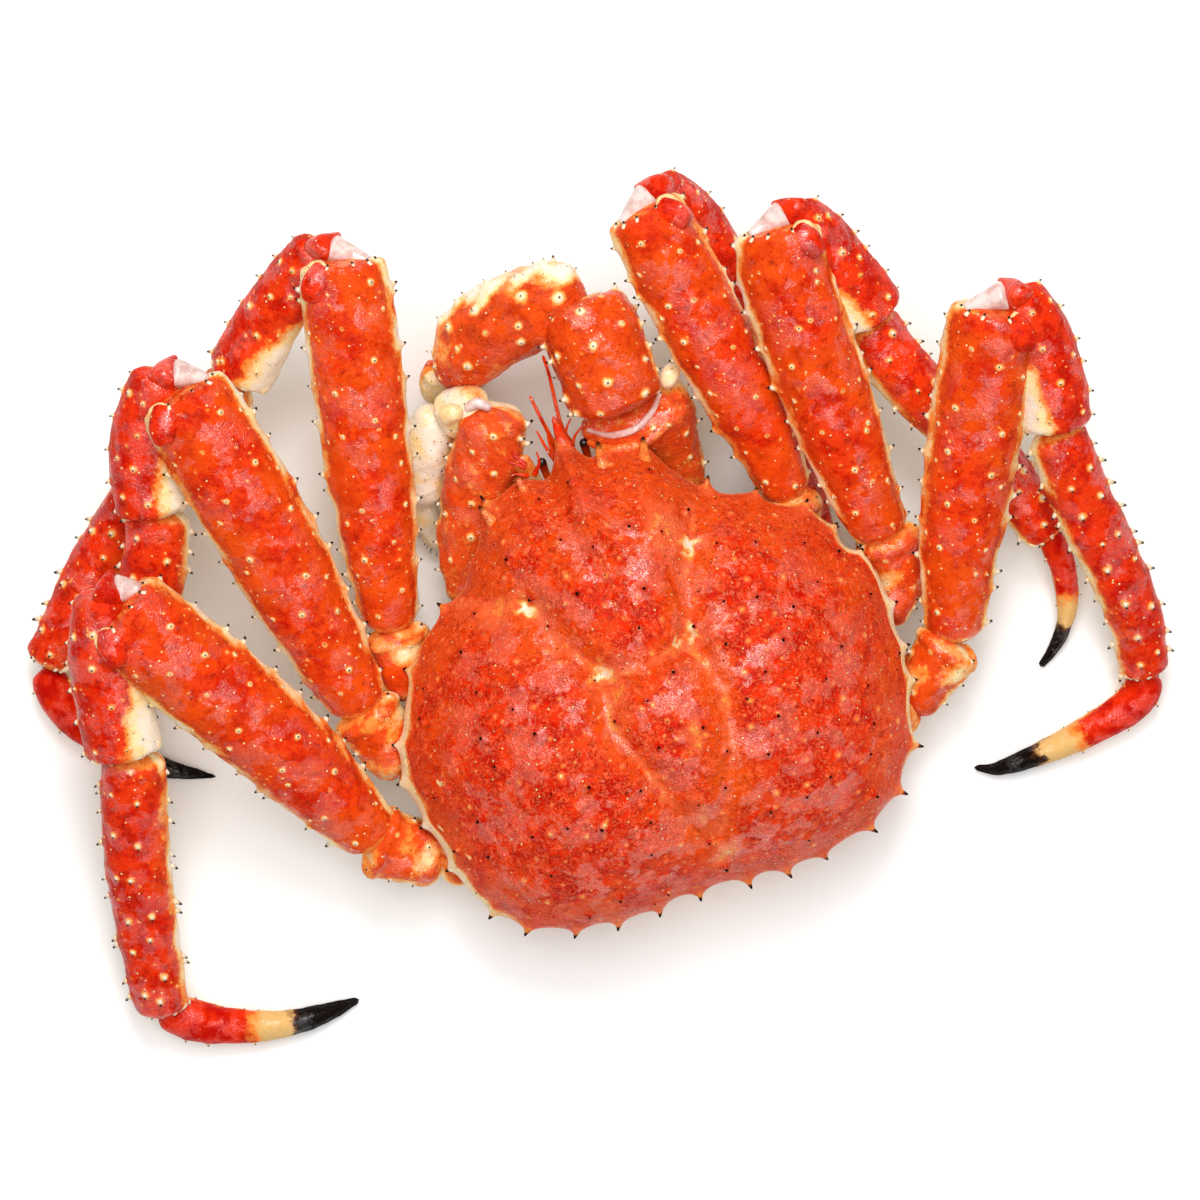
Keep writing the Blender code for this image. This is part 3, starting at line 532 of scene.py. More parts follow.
def carapace_plan(turn, run):
    """Across and forwards on the carapace, and how far out to the edge. run goes from the top to below."""
    edge = carapace_edge_at(turn)
    top = np.clip(run / RIM_RUN, 0, 1)
    under = np.clip((run - RIM_RUN) / (1 - RIM_RUN), 0, 1)
    out = np.where(run <= RIM_RUN, np.sin(top * np.pi / 2) ** 0.95, 1 - under**1.5)
    return edge[..., 0] * out, edge[..., 1] * out, out, run <= RIM_RUN + 1e-6


def back_height(across, forwards, out):
    """Height of the back over a point of the plan that lies the share out of the way to the edge."""
    dome = (1 - out**2.2) ** 0.72
    return rim_height(forwards) + DOME_HEIGHT * dome + back_relief(across, forwards) * (1 - out**8)


def carapace_points(turn, run):
    across, forwards, out, on_top = carapace_plan(turn, run)
    height = np.where(on_top, back_height(across, forwards, out), rim_height(forwards) - RIM_BAND)
    return np.stack([*body_to_floor(across, forwards), height], axis=-1)


def slab_points(turn, run, slab):
    """A rounded slab that fills the room under the carapace, down to its own floor."""
    angle = turn * 2 * np.pi
    tall = np.cos(run * np.pi)
    out = (1 - np.abs(tall) ** 3.0) ** (1 / 3.0)
    wide, ahead, behind = slab["spread"]
    long = np.where(np.sin(angle) > 0, ahead, behind)
    across = slab["centre"][0] + wide * out * signed_power(np.cos(angle), 0.8)
    forwards = slab["centre"][1] + long * out * signed_power(np.sin(angle), 0.8)
    top = slab.get("top", rim_height(forwards) - RIM_BAND - SLAB_GAP)
    level = np.clip(tall * 1.12, -1, 1)
    x, y = body_to_floor(across, forwards)
    return np.stack([x, y, slab["floor"] + (top - slab["floor"]) * (1 + level) / 2], axis=-1)


def grid_normals(points):
    """Outward normals of a closed grid of rings whose first and last rings are single points."""
    along = np.gradient(points, axis=0)
    around = np.roll(points, -1, axis=1) - np.roll(points, 1, axis=1)
    normals = unit(np.cross(around, along))
    normals[0] = unit(normals[1].mean(axis=0))
    normals[-1] = unit(normals[-2].mean(axis=0))
    outward = points - points.mean(axis=1, keepdims=True)
    if (outward * normals).sum() < 0:
        normals = -normals
    return normals


def add_object(name, data):
    thing = bpy.data.objects.new(name, data)
    bpy.context.scene.collection.objects.link(thing)
    return thing


# What each point tells the materials: how cream it is, how near a spine's black point, how far it is skin,
# how orange, where along its piece it lies, how near a dark knob, and how far it is dull and painted with
# shade
VALUES = ("pale", "tip", "skin", "warm", "along", "dark", "dull")


class Form:
    """The points, faces and values at the points of one piece, gathered part by part."""

    def __init__(self):
        self.points = []
        self.faces = []
        self.values = {name: [] for name in VALUES}
        self.count = 0

    def add(self, points, faces, **values):
        self.points.append(points)
        self.faces += [group + self.count for group in faces]
        for name in VALUES:
            self.values[name].append(np.broadcast_to(values.get(name, 0.0), len(points)))
        self.count += len(points)

    def add_grid(self, points, inside_out, **values):
        """A closed grid of rings: the first and last rings become one point each."""
        rings, around = points.shape[:2]
        middle = points[1:-1].reshape(-1, 3)
        rows = np.arange(rings - 2)[:, None] * around
        here = np.arange(around)[None, :]
        there = np.roll(here, -1, axis=1)
        quads = np.stack([rows[:-1] + here, rows[:-1] + there, rows[1:] + there, rows[1:] + here], axis=-1)
        first = len(middle)
        cap = np.stack([np.full(around, first), there[0], here[0]], axis=-1)
        low = rows[-1, 0]
        foot = np.stack([np.full(around, first + 1), low + here[0], low + there[0]], axis=-1)
        groups = [quads.reshape(-1, 4), cap, foot]
        if inside_out:
            groups = [group[:, ::-1] for group in groups]
        flat = {}
        for name, value in values.items():
            value = np.broadcast_to(value, points.shape[:2])
            flat[name] = np.concatenate([value[1:-1].reshape(-1), value[:1, 0], value[-1:, 0]])
        self.add(np.vstack([middle, points[0, :1], points[-1, :1]]), groups, **flat)

    def add_spines(self, feet, ways, half_widths, heights, black_from, pale=1.0):
        """Closed cones with black points, all in one go."""
        sides = 8
        levels = np.array((-0.25, 0.0, 0.35, 0.65, 0.88))
        widths = np.array((1.25, 1.05, 0.74, 0.52, 0.34))
        ways = unit(np.array(ways, float))
        side = unit(np.cross(ways, np.where(np.abs(ways[:, 2:]) < 0.9, (0.0, 0.0, 1.0), (1.0, 0.0, 0.0))))
        other = np.cross(ways, side)
        angle = np.arange(sides) * 2 * np.pi / sides
        spread = side[:, None] * np.cos(angle)[:, None] + other[:, None] * np.sin(angle)[:, None]
        feet = np.array(feet, float)
        half_widths = np.broadcast_to(half_widths, len(feet)).astype(float)
        heights = np.broadcast_to(heights, len(feet)).astype(float)
        rings = [feet[:, None] + ways[:, None] * (level * heights)[:, None, None]
                 + spread * (width * half_widths)[:, None, None] for level, width in zip(levels, widths)]
        points = np.concatenate(rings + [(feet + ways * heights[:, None])[:, None],
                                         (feet + ways * (levels[0] * heights)[:, None])[:, None]], axis=1)
        here = np.arange(sides)
        there = (here + 1) % sides
        last = (len(levels) - 1) * sides
        quads = np.concatenate([np.stack([here, there, there + sides, here + sides], axis=-1) + row * sides
                                for row in range(len(levels) - 1)])
        tops = np.stack([here + last, there + last, np.full(sides, last + sides)], axis=-1)
        soles = np.stack([there, here, np.full(sides, last + sides + 1)], axis=-1)
        each = points.shape[1]
        starts = (np.arange(len(feet)) * each)[:, None, None]
        faces = [(group[None] + starts).reshape(-1, group.shape[1]) for group in (quads, tops, soles)]
        level_of = np.concatenate([np.repeat(levels, sides), [1.0, levels[0]]])
        dark = smooth_step(black_from - 0.12, black_from + 0.12, level_of)
        self.add(points.reshape(-1, 3), faces, tip=np.tile(dark, len(feet)), pale=pale)

    def finish(self, node, material):
        """Makes the piece's object, which stands for the CAD node."""
        name = f"{node}_shell"
        mesh = bpy.data.meshes.new(name)
        points = (np.vstack(self.points) + LAYOUT_SHIFT) * MM
        corners = np.concatenate([group.reshape(-1) for group in self.faces])
        sizes = np.concatenate([np.full(len(group), group.shape[1]) for group in self.faces])
        mesh.vertices.add(len(points))
        mesh.vertices.foreach_set("co", points.reshape(-1))
        mesh.loops.add(len(corners))
        mesh.loops.foreach_set("vertex_index", corners)
        mesh.polygons.add(len(sizes))
        mesh.polygons.foreach_set("loop_start", np.cumsum(sizes) - sizes)
        mesh.update(calc_edges=True)
        mesh.polygons.foreach_set("use_smooth", np.ones(len(mesh.polygons), bool))
        for value_name in VALUES:
            attribute = mesh.attributes.new(value_name, "FLOAT", "POINT")
            attribute.data.foreach_set("value", np.concatenate(self.values[value_name]).astype(np.float32))
        mesh.materials.append(material)
        piece = add_object(name, mesh)
        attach(piece, "root")
        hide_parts(node)


def raise_mounds(points, normals, mounds):
    """The points lifted into mounds of a centre, half width, height and paleness, and how pale they are."""
    shape = points.shape[:-1]
    flat = points.reshape(-1, 3)
    lift = np.zeros(len(flat))
    pale = np.zeros(len(flat))
    for centre, half_width, height, whiteness in mounds:
        away = np.abs(flat - centre)
        near = np.flatnonzero((away[:, 0] < 3 * half_width) & (away[:, 1] < 3 * half_width)
                              & (away[:, 2] < 3 * half_width))
        far = np.linalg.norm(flat[near] - centre, axis=1) / half_width
        lift[near] += height * np.exp(-1.7 * far**1.4)
        pale[near] = np.maximum(pale[near], whiteness * np.exp(-1.2 * far**1.6))
    return points + normals * lift.reshape(shape)[..., None], pale.reshape(shape)


def ring_degrees(limb, spacing):
    """Angles round a limb: close over its top, and twice as far apart below, where little shows."""
    widest = limb["profile"][:, 1:].max() * limb["stout"]
    half = int(np.pi * widest / spacing) // 2 * 2
    top = np.arange(half) * 180 / half
    below = top if limb["name"] in TOP_FACES else top[::2]
    return np.concatenate([top, 180 + below])


def limb_grid(limb, spacing):
    """The limb's points in rings, with the degrees and the share of each."""
    first = max(6, int(limb["ends"][0] * 1.5 / spacing))
    last = max(6, int(limb["ends"][1] * 1.5 / spacing) + 4)
    middle = int(limb["length"] / spacing)
    run = np.concatenate([np.linspace(0, END_SHARE, first, endpoint=False),
                          np.linspace(END_SHARE, 1 - END_SHARE, middle, endpoint=False),
                          np.linspace(1 - END_SHARE, 1, last)])
    ring = ring_degrees(limb, spacing)
    degrees = np.broadcast_to(ring, (len(run), len(ring)))
    run = np.broadcast_to(run[:, None], degrees.shape)
    return limb_points(limb, degrees, run), degrees, limb_share(limb, run)[0]


def limb_spot(limb, degrees, share):
    """Point, outward way and forward way at one place on a limb."""
    run = run_at(limb, share)
    nearby = limb_points(limb, np.array((degrees, degrees + 3, degrees)), np.array((run, run, run + 0.01)))
    forward = unit(nearby[2] - nearby[0])
    outward = unit(np.cross(nearby[1] - nearby[0], forward))
    middle = read_line(limb["line"], np.array([share]))[0]
    if outward @ (nearby[0] - middle) < 0:
        outward = -outward
    return nearby[0], outward, forward


def limb_tubercles(limb, rows, density, random):
    """The mounds and spines of a limb: its rows of large ones, and the low dots scattered between them."""
    mounds, spines = [], []
    whiteness = 1.35 if limb["kind"] in ("claw", "merus") else 1.1
    for degrees, first, last, count, half_width, height, spine_width, spine_height, lean in rows:
        for share in np.linspace(first, last, count):
            size = random.uniform(0.8, 1.2)
            turn = degrees + random.normal() * (2 if degrees < 10 or degrees > 170 else 9)
            place = np.clip(share + random.normal() * 0.022, 0.03, 0.97)
            spot, outward, forward = limb_spot(limb, turn, place)
            mounds.append((spot, half_width * size, height * size, whiteness))
            spines.append((spot + outward * height * size * 0.9, outward + forward * lean,
                           spine_width * size, spine_height * size))
    area = limb["length"] * limb["profile"][:, 1].mean() * limb["stout"] * 2 / 100
    for _ in range(int(area * density)):
        spot, _, _ = limb_spot(limb, random.uniform(6, 174), random.uniform(0.04, 0.97))
        half_width = random.uniform(0.45, 0.95)
        mounds.append((spot, half_width, half_width * 0.45, random.uniform(0.55, 0.95)))
    return mounds, spines


def edge_band(degrees, middle, half_width):
    """How near each angle is to the middle one, from 1 to 0."""
    away = np.abs((degrees - middle + 180) % 360 - 180)
    return np.exp(-((away / half_width) ** 2))


def underside(degrees):
    return smooth_step(180, 205, degrees) * (1 - smooth_step(335, 360, degrees))


def leg_paleness(kind, points, degrees, share):
    """Where the red shell turns cream: along its edges and below, by kind of segment."""
    below = 0.95 * underside(degrees)
    uneven = 1 + 0.6 * ripple(points, 10, 21)
    inner = edge_band(degrees, 180, 26) * uneven
    outer = edge_band(degrees, 0, 26) * uneven
    if kind == "merus":
        rims = 0.36 * smooth_step(0.965, 0.995, share) + 0.5 * (1 - smooth_step(0.02, 0.06, share))
        return np.maximum.reduce([below, 0.8 * inner, 0.8 * outer, rims])
    if kind == "carpus":
        border = degrees + 7 * ripple(points, 9, 23) + 40 * (share - 0.5)
        inside = smooth_step(88, 150, border) * (1 - smooth_step(300, 340, degrees))
        lobe = 1.15 * smooth_step(0.25, 0.75, share + 0.06 * ripple(points, 9, 24)) * inside
        return np.maximum.reduce([below, lobe, 0.25 * outer])
    if kind == "propodus":
        strip = 0.8 * edge_band(degrees, 180, 34) * uneven
        ends = 0.55 * smooth_step(0.95, 1.0, share) + 0.5 * (1 - smooth_step(0.02, 0.07, share))
        return np.maximum.reduce([below, strip, 0.3 * outer, ends])
    if kind == "dactyl":
        return np.maximum(0.8 * underside(degrees), 0.45 * inner + 0.2 * outer)
    collar = 0.5 * smooth_step(0.8, 0.95, share)
    blotches = 0.25 + 0.45 * ripple(points, 12, 22)
    return np.maximum.reduce([below, blotches, collar * uneven, 0.6 * inner, 0.6 * outer])


def leg_warmth(kind, degrees, share):
    """How far the red leans to orange."""
    edges = edge_band(degrees, 0, 42) + edge_band(degrees, 180, 42)
    if kind == "merus":
        return 0.3 + 0.45 * edges + 0.25 * (1 - smooth_step(0.0, 0.3, share))
    if kind in ("carpus", "propodus"):
        return -0.2 + 0.5 * edge_band(degrees, 180, 70)
    if kind == "dactyl":
        return -0.1 + 0.4 * edges
    return 0.65 + 0.3 * edges


def limb_relief(kind, points, degrees, share):
    """Low forms of the shell besides its tubercles: keeled edges, collars and a gentle unevenness."""
    lift = 0.4 * ripple(points, 17, 3) + 0.2 * ripple(points, 7, 4) + 0.07 * ripple(points, 3, 5)
    edges = edge_band(degrees, 0, 13) + edge_band(degrees, 180, 13)
    if kind in ("coxa", "ischium"):
        return 1.5 * lift + 1.4 * edges + 1.0 * smooth_step(0.76, 0.84, share) + 0.5 * ripple(points, 9, 6)
    if kind == "claw":
        return 1.4 * lift + 0.5 * ripple(points, 9, 7) + 0.3 * edges
    keel = 1.0 if kind == "merus" else 0.6
    crest = 0.6 * edge_band(degrees, 90, 24)
    return lift + keel * edges + crest


def dress_limb(form, limb, rows, density, random, paleness, warmth):
    """One segment's shell with its tubercles and spines."""
    points, degrees, share = limb_grid(limb, POINT_SPACING)
    normals = grid_normals(points)
    kind = limb["kind"]
    fade = smooth_step(0, 0.04, share) * smooth_step(0, 0.02, 1 - share)
    points = points + normals * (limb_relief(kind, points, degrees, share) * fade)[..., None]
    mounds, spines = limb_tubercles(limb, rows, density, random)
    points, white = raise_mounds(points, normals, mounds)
    pale = np.maximum(paleness(kind, points, degrees, share), white)
    # The sides of the limb: dry rather than wet, and painted darker rust-red in the material as shade
    dull = np.maximum(edge_band(degrees, 0, 50), edge_band(degrees, 180, 50))
    warm = warmth(kind, degrees, share)
    form.add_grid(points, limb["mirror"], pale=pale, warm=warm, along=share, dull=dull)
    if spines:
        feet, ways, widths, heights = zip(*spines)
        form.add_spines(feet, ways, widths, heights, 0.4)


def add_rim_spines(form, limb, angles, height, lean):
    """Spines on the rim of a segment's outer end, leaning past the joint."""
    spots = [limb_spot(limb, degrees, JOINT_SHARE) for degrees in angles]
    feet = [spot - outward * 0.4 for spot, outward, _ in spots]
    ways = [outward + forward * lean for _, outward, forward in spots]
    form.add_spines(feet, ways, 0.9, height, 0.5)


def add_bulge(form, points, profile, ends, spacing=0.8, uneven=0.3, **values):
    """A rounded form that runs through the points, such as the soft skin of a joint that is bent open."""
    grid = limb_grid(make_limb("bulge", "bulge", 1.0, ends, profile, points), spacing)[0]
    grid = grid + grid_normals(grid) * (uneven * ripple(grid, 6, 9))[..., None]
    form.add_grid(grid, False, **values)


def round_profile(first, middle, last):
    return [(0, first, first), (0.5, middle, middle), (1, last, last)]


def make_legs(materials):
    for number, (leg, (stout, segments)) in enumerate(LEGS.items()):
        for order, (kind, points) in enumerate(segments.items()):
            name = f"leg_{leg}_{kind}"
            limb = make_limb(name, kind, SLIM.get(name, stout), ENDS[kind], PROFILES[kind], points)
            random = np.random.default_rng(100 * number + order)
            form = Form()
            dress_limb(form, limb, TUBERCLE_ROWS[kind], DOT_DENSITY[kind], random, leg_paleness, leg_warmth)
            if kind == "merus":
                add_rim_spines(form, limb, (10, 42, 74, 110), 2.4, 1.2)
                add_knee(form, limb, segments["carpus"][0])
            if kind in ("carpus", "propodus"):
                add_rim_spines(form, limb, (10, 50, 90, 128, 160), 2.2, 1.4)
            if kind == "carpus":
                add_end_knobs(form, limb, 0.97, ((165, 3.4), (25, 2.8), (110, 2.6)))
            if kind == "propodus":
                add_end_knobs(form, limb, 0.98, ((168, 2.6), (15, 2.4), (90, 2.2)))
            material = materials["leg_tip" if kind == "dactyl" else "leg_shell"]
            form.finish(name, material)


def add_knee(form, limb, carpus_start):
    """The joint at the end of a merus: white skin towards the head of the carpus, and the red lobe and the
    cream arc of the hinge on the outer corner."""
    stout = limb["stout"]
    _, outward, forward = limb_spot(limb, 90, JOINT_SHARE)
    middle = read_line(limb["line"], np.array([1.0]))[0]
    inner_way = unit(limb_spot(limb, 0, 0.95)[0] - limb_spot(limb, 180, 0.95)[0])
    corner = middle + inner_way * 11.5 * stout - forward * 2.4 - outward * 2
    start = np.array(carpus_start, float)
    head = start - forward * 2.6 + inner_way * 2
    peak = corner * 0.45 + head * 0.55 + forward * 0.6 - outward
    add_bulge(form, [corner, peak, head], [(0, 1.8, 4.0), (0.5, 4.2, 5.5), (1, 6.0, 6.5)], (1.2, 2.5),
              skin=1.0)
    crest = start - inner_way * 4.5 - forward * 7 - outward
    tip = crest + inner_way * 11.5 + forward * 10.0 + outward * 1.5
    add_bulge(form, [crest, crest * 0.45 + tip * 0.55 + forward * 0.6 - inner_way * 0.6, tip],
              [(0, 6.4, 8.0), (0.45, 4.8, 6.8), (0.8, 2.4, 4.0), (1, 0.8, 1.6)], (4, 0.8), warm=-0.1)
    spots = ((139, 0.915), (131, 0.955), (124, 0.995))
    lobe = [limb_spot(limb, degrees, share)[0] - outward * 2.2 for degrees, share in spots]
    add_bulge(form, lobe, [(0, 3.4, 3.0), (0.5, 5.6 * stout, 5.2), (1, 5.4 * stout, 5.0)], (2.6, 2.5),
              warm=-0.4)
    bends = ((158, 0.945, 0), (148, 0.985, 0.8), (130, 0.99, 2.0), (112, 0.985, 1.6))
    arc = [limb_spot(limb, degrees, share)[0] - outward * 0.1 + forward * ahead
           for degrees, share, ahead in bends]
    add_bulge(form, arc, [(0, 0.8, 1.0), (0.5, 1.6, 2.0), (1, 0.9, 1.2)], (0.7, 0.7), 0.6, 0.2, pale=0.75)


def add_end_knobs(form, limb, share, knobs):
    """Pale knobs of the hinge on the rim of a segment's outer end."""
    for degrees, size in knobs:
        spot, outward, forward = limb_spot(limb, degrees, share)
        start = spot - outward * size * 0.75 - forward * size
        line = [start, start + forward * size, start + forward * size * 1.9]
        profile = round_profile(size * 0.8, size, size * 0.7)
        add_bulge(form, line, profile, (size * 0.6, size * 0.6), 0.6, 0.15, pale=0.95)


def claw_paleness(limb):
    """Where a claw's shell is cream rather than orange."""
    name = limb["name"]

    def paleness(kind, points, degrees, share):
        below = 0.9 * underside(degrees)
        uneven = 1 + 0.4 * ripple(points, 12, 31)
        if name == "claw_right_palm":
            turned = degrees + 14 * ripple(points, 9, 32)
            ridge = 1.1 * edge_band(turned, 52, 30)
            top = 0.8 * edge_band(turned, 84, 34)
            end = 0.6 * smooth_step(0.3, 0.6, share) * edge_band(turned, 20, 50)
            return uneven * np.maximum.reduce([ridge, top, end, 0.35 * edge_band(degrees, 275, 25)])
        if name in ("claw_left_palm", "claw_left_finger"):
            return 1.05 * uneven
        if name == "claw_left_carpus":
            return 0.95 * uneven
        if name == "claw_right_carpus":
            rims = 0.75 * smooth_step(0.93, 1.0, share) + 0.6 * (1 - smooth_step(0.02, 0.08, share))
            return np.maximum.reduce([below, rims, 0.6 * edge_band(degrees, 180, 22) * uneven])
        edges = edge_band(degrees, 0, 20) + edge_band(degrees, 180, 30)
        return np.maximum.reduce([below, 0.62 * edges * uneven, 0.25 * uneven])

    return paleness


def claw_warmth(kind, degrees, share):
    return 0.62 + 0.2 * edge_band(degrees, 180, 60)


def make_claws(materials):
    for number, (name, (end, profile, points)) in enumerate(CLAWS.items()):
        limb = make_limb(name, "claw", 1.0, (end, end), profile, points)
        form = Form()
        dress_limb(form, limb, TUBERCLE_ROWS.get(name, []), DOT_DENSITY.get(name, CLAW_DOT_DENSITY),
                   np.random.default_rng(900 + number), claw_paleness(limb), claw_warmth)
        for joint, widths, skin, pale in CLAW_JOINTS.get(name, []):
            add_bulge(form, joint, round_profile(*widths), (widths[0], widths[2]), 0.6, 0.2, skin=skin,
                      pale=pale, warm=0.6)
        form.finish(name, materials["claw_shell"])


def make_front_pieces(materials):
    for name, (end, profile, points) in FRONT_PIECES.items():
        limb = make_limb(name, "front", 1.0, (end, end), profile, points)
        form = Form()
        grid, _, share = limb_grid(limb, MOUTHPART_SPACING if "mouthpart" in name else FRONT_SPACING)
        pale = {"eye": 0.0, "antenna": 0.0, "antennal": 0.85}.get(name.split("_")[0], 0.7)
        form.add_grid(grid, limb["mirror"], pale=pale * (1 - 0.5 * share), warm=0.3, along=share)
        for tine in FRONT_TINES.get(name, []):
            add_bulge(form, tine, round_profile(1.1, 0.7, 0.3), (0.6, 0.3), 0.35, 0.1, warm=0.2)
        material = materials["eye"] if "eye" in name else materials["leg_shell"]
        form.finish(name, material)


def make_slabs(materials):
    for name, slab in SLABS.items():
        form = Form()
        turn, run = np.meshgrid(np.arange(SLAB_AROUND) / SLAB_AROUND, np.linspace(0, 1, SLAB_RINGS))
        form.add_grid(slab_points(turn, run, slab), True, pale=0.75, warm=0.3)
        form.finish(name, materials["leg_shell"])


def back_spot(across, forwards):
    """Point and outward way on the back."""
    across = across + np.array((0.0, 1.0, 0.0))
    forwards = forwards + np.array((0.0, 0.0, 1.0))
    reach = np.interp(np.arctan2(forwards, across), EDGE_BEARING, EDGE_REACH, period=2 * np.pi)
    out = np.minimum(np.hypot(across, forwards) / reach, 0.999)
    points = np.stack([*body_to_floor(across, forwards), back_height(across, forwards, out)], axis=-1)
    return points[0], unit(np.cross(points[1] - points[0], points[2] - points[0]))


def carapace_mounds(random):
    """The dark knobs of the back, its pale dots of many sizes, and the spines that both carry."""
    places = list(BACK_SPINES)
    while len(places) < KNOB_COUNT:
        turn, out = random.uniform(), math.sqrt(random.uniform(0, 0.93))
        spot = carapace_edge_at(np.array([turn]))[0] * out
        if min(math.hypot(spot[0] - x, spot[1] - y) for x, y in places) > KNOB_GAP:
            places.append(tuple(spot))
    knobs, dots, spines = [], [], []
    for across, forwards in places:
        spot, outward = back_spot(across, forwards)
        size = random.uniform(0.75, 1.2)
        knobs.append((spot, 2.5 * size, 2.0 * size, 1.0))
        spines.append((spot + outward * 1.5 * size, outward, 0.7 * size, 1.2 * size))
    for i in range(DOT_COUNT):
        out = math.sqrt((i + 0.5) / DOT_COUNT) * 0.985
        turn = np.array([(i * GOLDEN_TURN + random.normal() * 0.006) % 1])
        spot, outward = back_spot(*(carapace_edge_at(turn)[0] * out))
        half_width = random.uniform(0.55, 0.9) if i % 4 else random.uniform(0.9, 1.5)
        dots.append((spot, half_width, half_width * 0.55, random.uniform(0.3, 0.8)))
        if i % 9 == 0:
            spines.append((spot + outward * half_width * 0.4, outward, 0.3, 0.5))
    return knobs, dots, spines


def level_way(across, forwards, squeeze=0.8):
    """The level way out from the middle of the body, with less of its sideways part."""
    x, y = body_to_floor(across * squeeze, forwards)
    return unit(np.stack([x - BODY_CENTRE[0], y - BODY_CENTRE[1], 0 * x], axis=-1))


def edge_spine_feet():
    """The edge spines, each moved onto the edge itself."""
    feet = []
    for x, y, reach in EDGE_SPINES:
        nearest = EDGE_LINE[np.argmin(np.hypot(EDGE_LINE[:, 0] - x, EDGE_LINE[:, 1] - y))]
        feet.append((*nearest, reach))
    return feet


def edge_cusps(across, forwards, out):
    """How far the rim runs out into the spines of its edge."""
    cusp = np.zeros(across.shape)
    for x, y, reach in edge_spine_feet():
        away = np.hypot(across - x, forwards - y)
        sharp = 3.4 if reach > 10 else 2.3
        cusp = np.maximum(cusp, 0.68 * reach * np.exp(-away / sharp))
    return cusp * smooth_step(0.93, 1.0, out)


def carapace_groove(across, forwards, width):
    """How near each place is to the middle of a groove, from 1 to 0."""
    near = np.zeros(across.shape)
    for _, _, line in GROOVES:
        near = np.maximum(near, np.exp(-((distance_to_line(across, forwards, line) / width) ** 2)))
    return near


def carapace_paleness(points, across, forwards, out, on_top):
    """Pale spots, grooves, patches and the cream frill of the rim, and how near a groove each place is."""
    bent_x = across + 1.5 * ripple(points, 5, 41)
    bent_y = forwards + 1.5 * ripple(points, 5, 42)
    spots = np.zeros(across.shape)
    for x, y, size in PALE_SPOTS:
        far = np.hypot(bent_x - x, bent_y - y) / size
        star = 1 + 0.45 * np.cos(3 * np.arctan2(bent_y - y, bent_x - x) + x)
        spots = np.maximum(spots, 1.25 * np.exp(-1.3 * (far / star) ** 1.5))
    groove = 0.42 * carapace_groove(bent_x, bent_y, 2.4) * (0.75 + 0.5 * ripple(points, 15, 43))
    sides = smooth_step(70, 95, np.abs(across))
    side_width = np.where(across < 0, 0.03, 0.014)
    frill = 0.984 - side_width * sides * (0.8 + 0.8 * ripple(points, 8, 45))
    rim = (0.35 + 0.6 * sides) * smooth_step(frill, 1.0 - 0.016 * sides, out) + 0.5 * (1 - on_top)
    patchy = 0.36 * (1 + 0.5 * ripple(points, 7, 44))
    for x, y, wide, deep in PALE_PATCHES:
        rim = np.maximum(rim, patchy * np.exp(-(((bent_x - x) / wide) ** 2) - ((bent_y - y) / deep) ** 2))
    return np.maximum.reduce([spots, rim, groove]), carapace_groove(bent_x, bent_y, 8.0)


def add_carapace_spines(form):
    """The beak and the spines round the edge, then the horns that stand up from the front."""
    for x, y, reach in edge_spine_feet():
        outward = level_way(x, y)
        foot = np.array((*body_to_floor(x, y), rim_height(y) - RIM_BAND / 2 + reach * 0.12))
        if reach > 10:
            form.add_spines([foot], [outward + (0, 0, 0.15)], 3.0, reach, 2.0, pale=0.0)
        else:
            form.add_spines([foot + outward * reach * 0.4], [outward + (0, 0, 0.12)], 1.1, reach * 0.42, 0.3,
                            pale=0.3)
    for x, y, height in FRONT_HORNS:
        ahead = level_way(x, y, 1.0)
        foot = back_spot(x * 0.97, y * 0.97)[0] - ahead * 0.5 - (0, 0, 1.0)
        form.add_spines([foot], [ahead + (0, 0, 0.3)], height * 0.34, height * 1.25, 0.8, pale=0.42)


def make_carapace(materials):
    turn, run = np.meshgrid(np.arange(CARAPACE_AROUND) / CARAPACE_AROUND,
                            np.concatenate([np.linspace(0, RIM_RUN, CARAPACE_RINGS),
                                            np.linspace(RIM_RUN + 0.005, 1, UNDER_RINGS)]))
    points = carapace_points(turn, run)
    normals = grid_normals(points)
    across, forwards, out, on_top = carapace_plan(turn, run)
    uneven = 0.55 * ripple(points, 22, 11) + 0.3 * ripple(points, 9, 12) + 0.14 * ripple(points, 4, 13)
    points = points + normals * (uneven * on_top * (1 - out**12))[..., None]
    knobs, dots, spines = carapace_mounds(np.random.default_rng(7))
    points, white = raise_mounds(points, normals, dots)
    points, dark = raise_mounds(points, normals, knobs)

    cusp = edge_cusps(across, forwards, out)
    points = points + level_way(across, forwards) * cusp[..., None]
    middle = rim_height(forwards) - RIM_BAND / 2
    points[..., 2] += (middle + cusp * 0.15 - points[..., 2]) * np.minimum(cusp / 5, 1) * 0.85

    pale, groove = carapace_paleness(points, across, forwards, out, on_top)
    # Orange in the grooves and towards the front. Towards the rim the shell leans orange, partly its own
    # tone and partly painted light, lighter where the rim faces away from the lamps
    warm = 0.75 * groove + 0.25 * smooth_step(20, 80, forwards) + 0.55 * smooth_step(0.75, 0.97, out)
    form = Form()
    # The rim is dull, and takes a little painted shade in the material
    form.add_grid(points, False, pale=np.maximum.reduce([pale, white, 0.14 * cusp]), warm=warm, dark=dark,
                  dull=smooth_step(0.72, 0.95, out))
    feet, ways, widths, heights = zip(*spines)
    form.add_spines(feet, ways, widths, heights, 0.2, pale=0.0)
    add_carapace_spines(form)
    form.finish("carapace", materials["carapace_shell"])


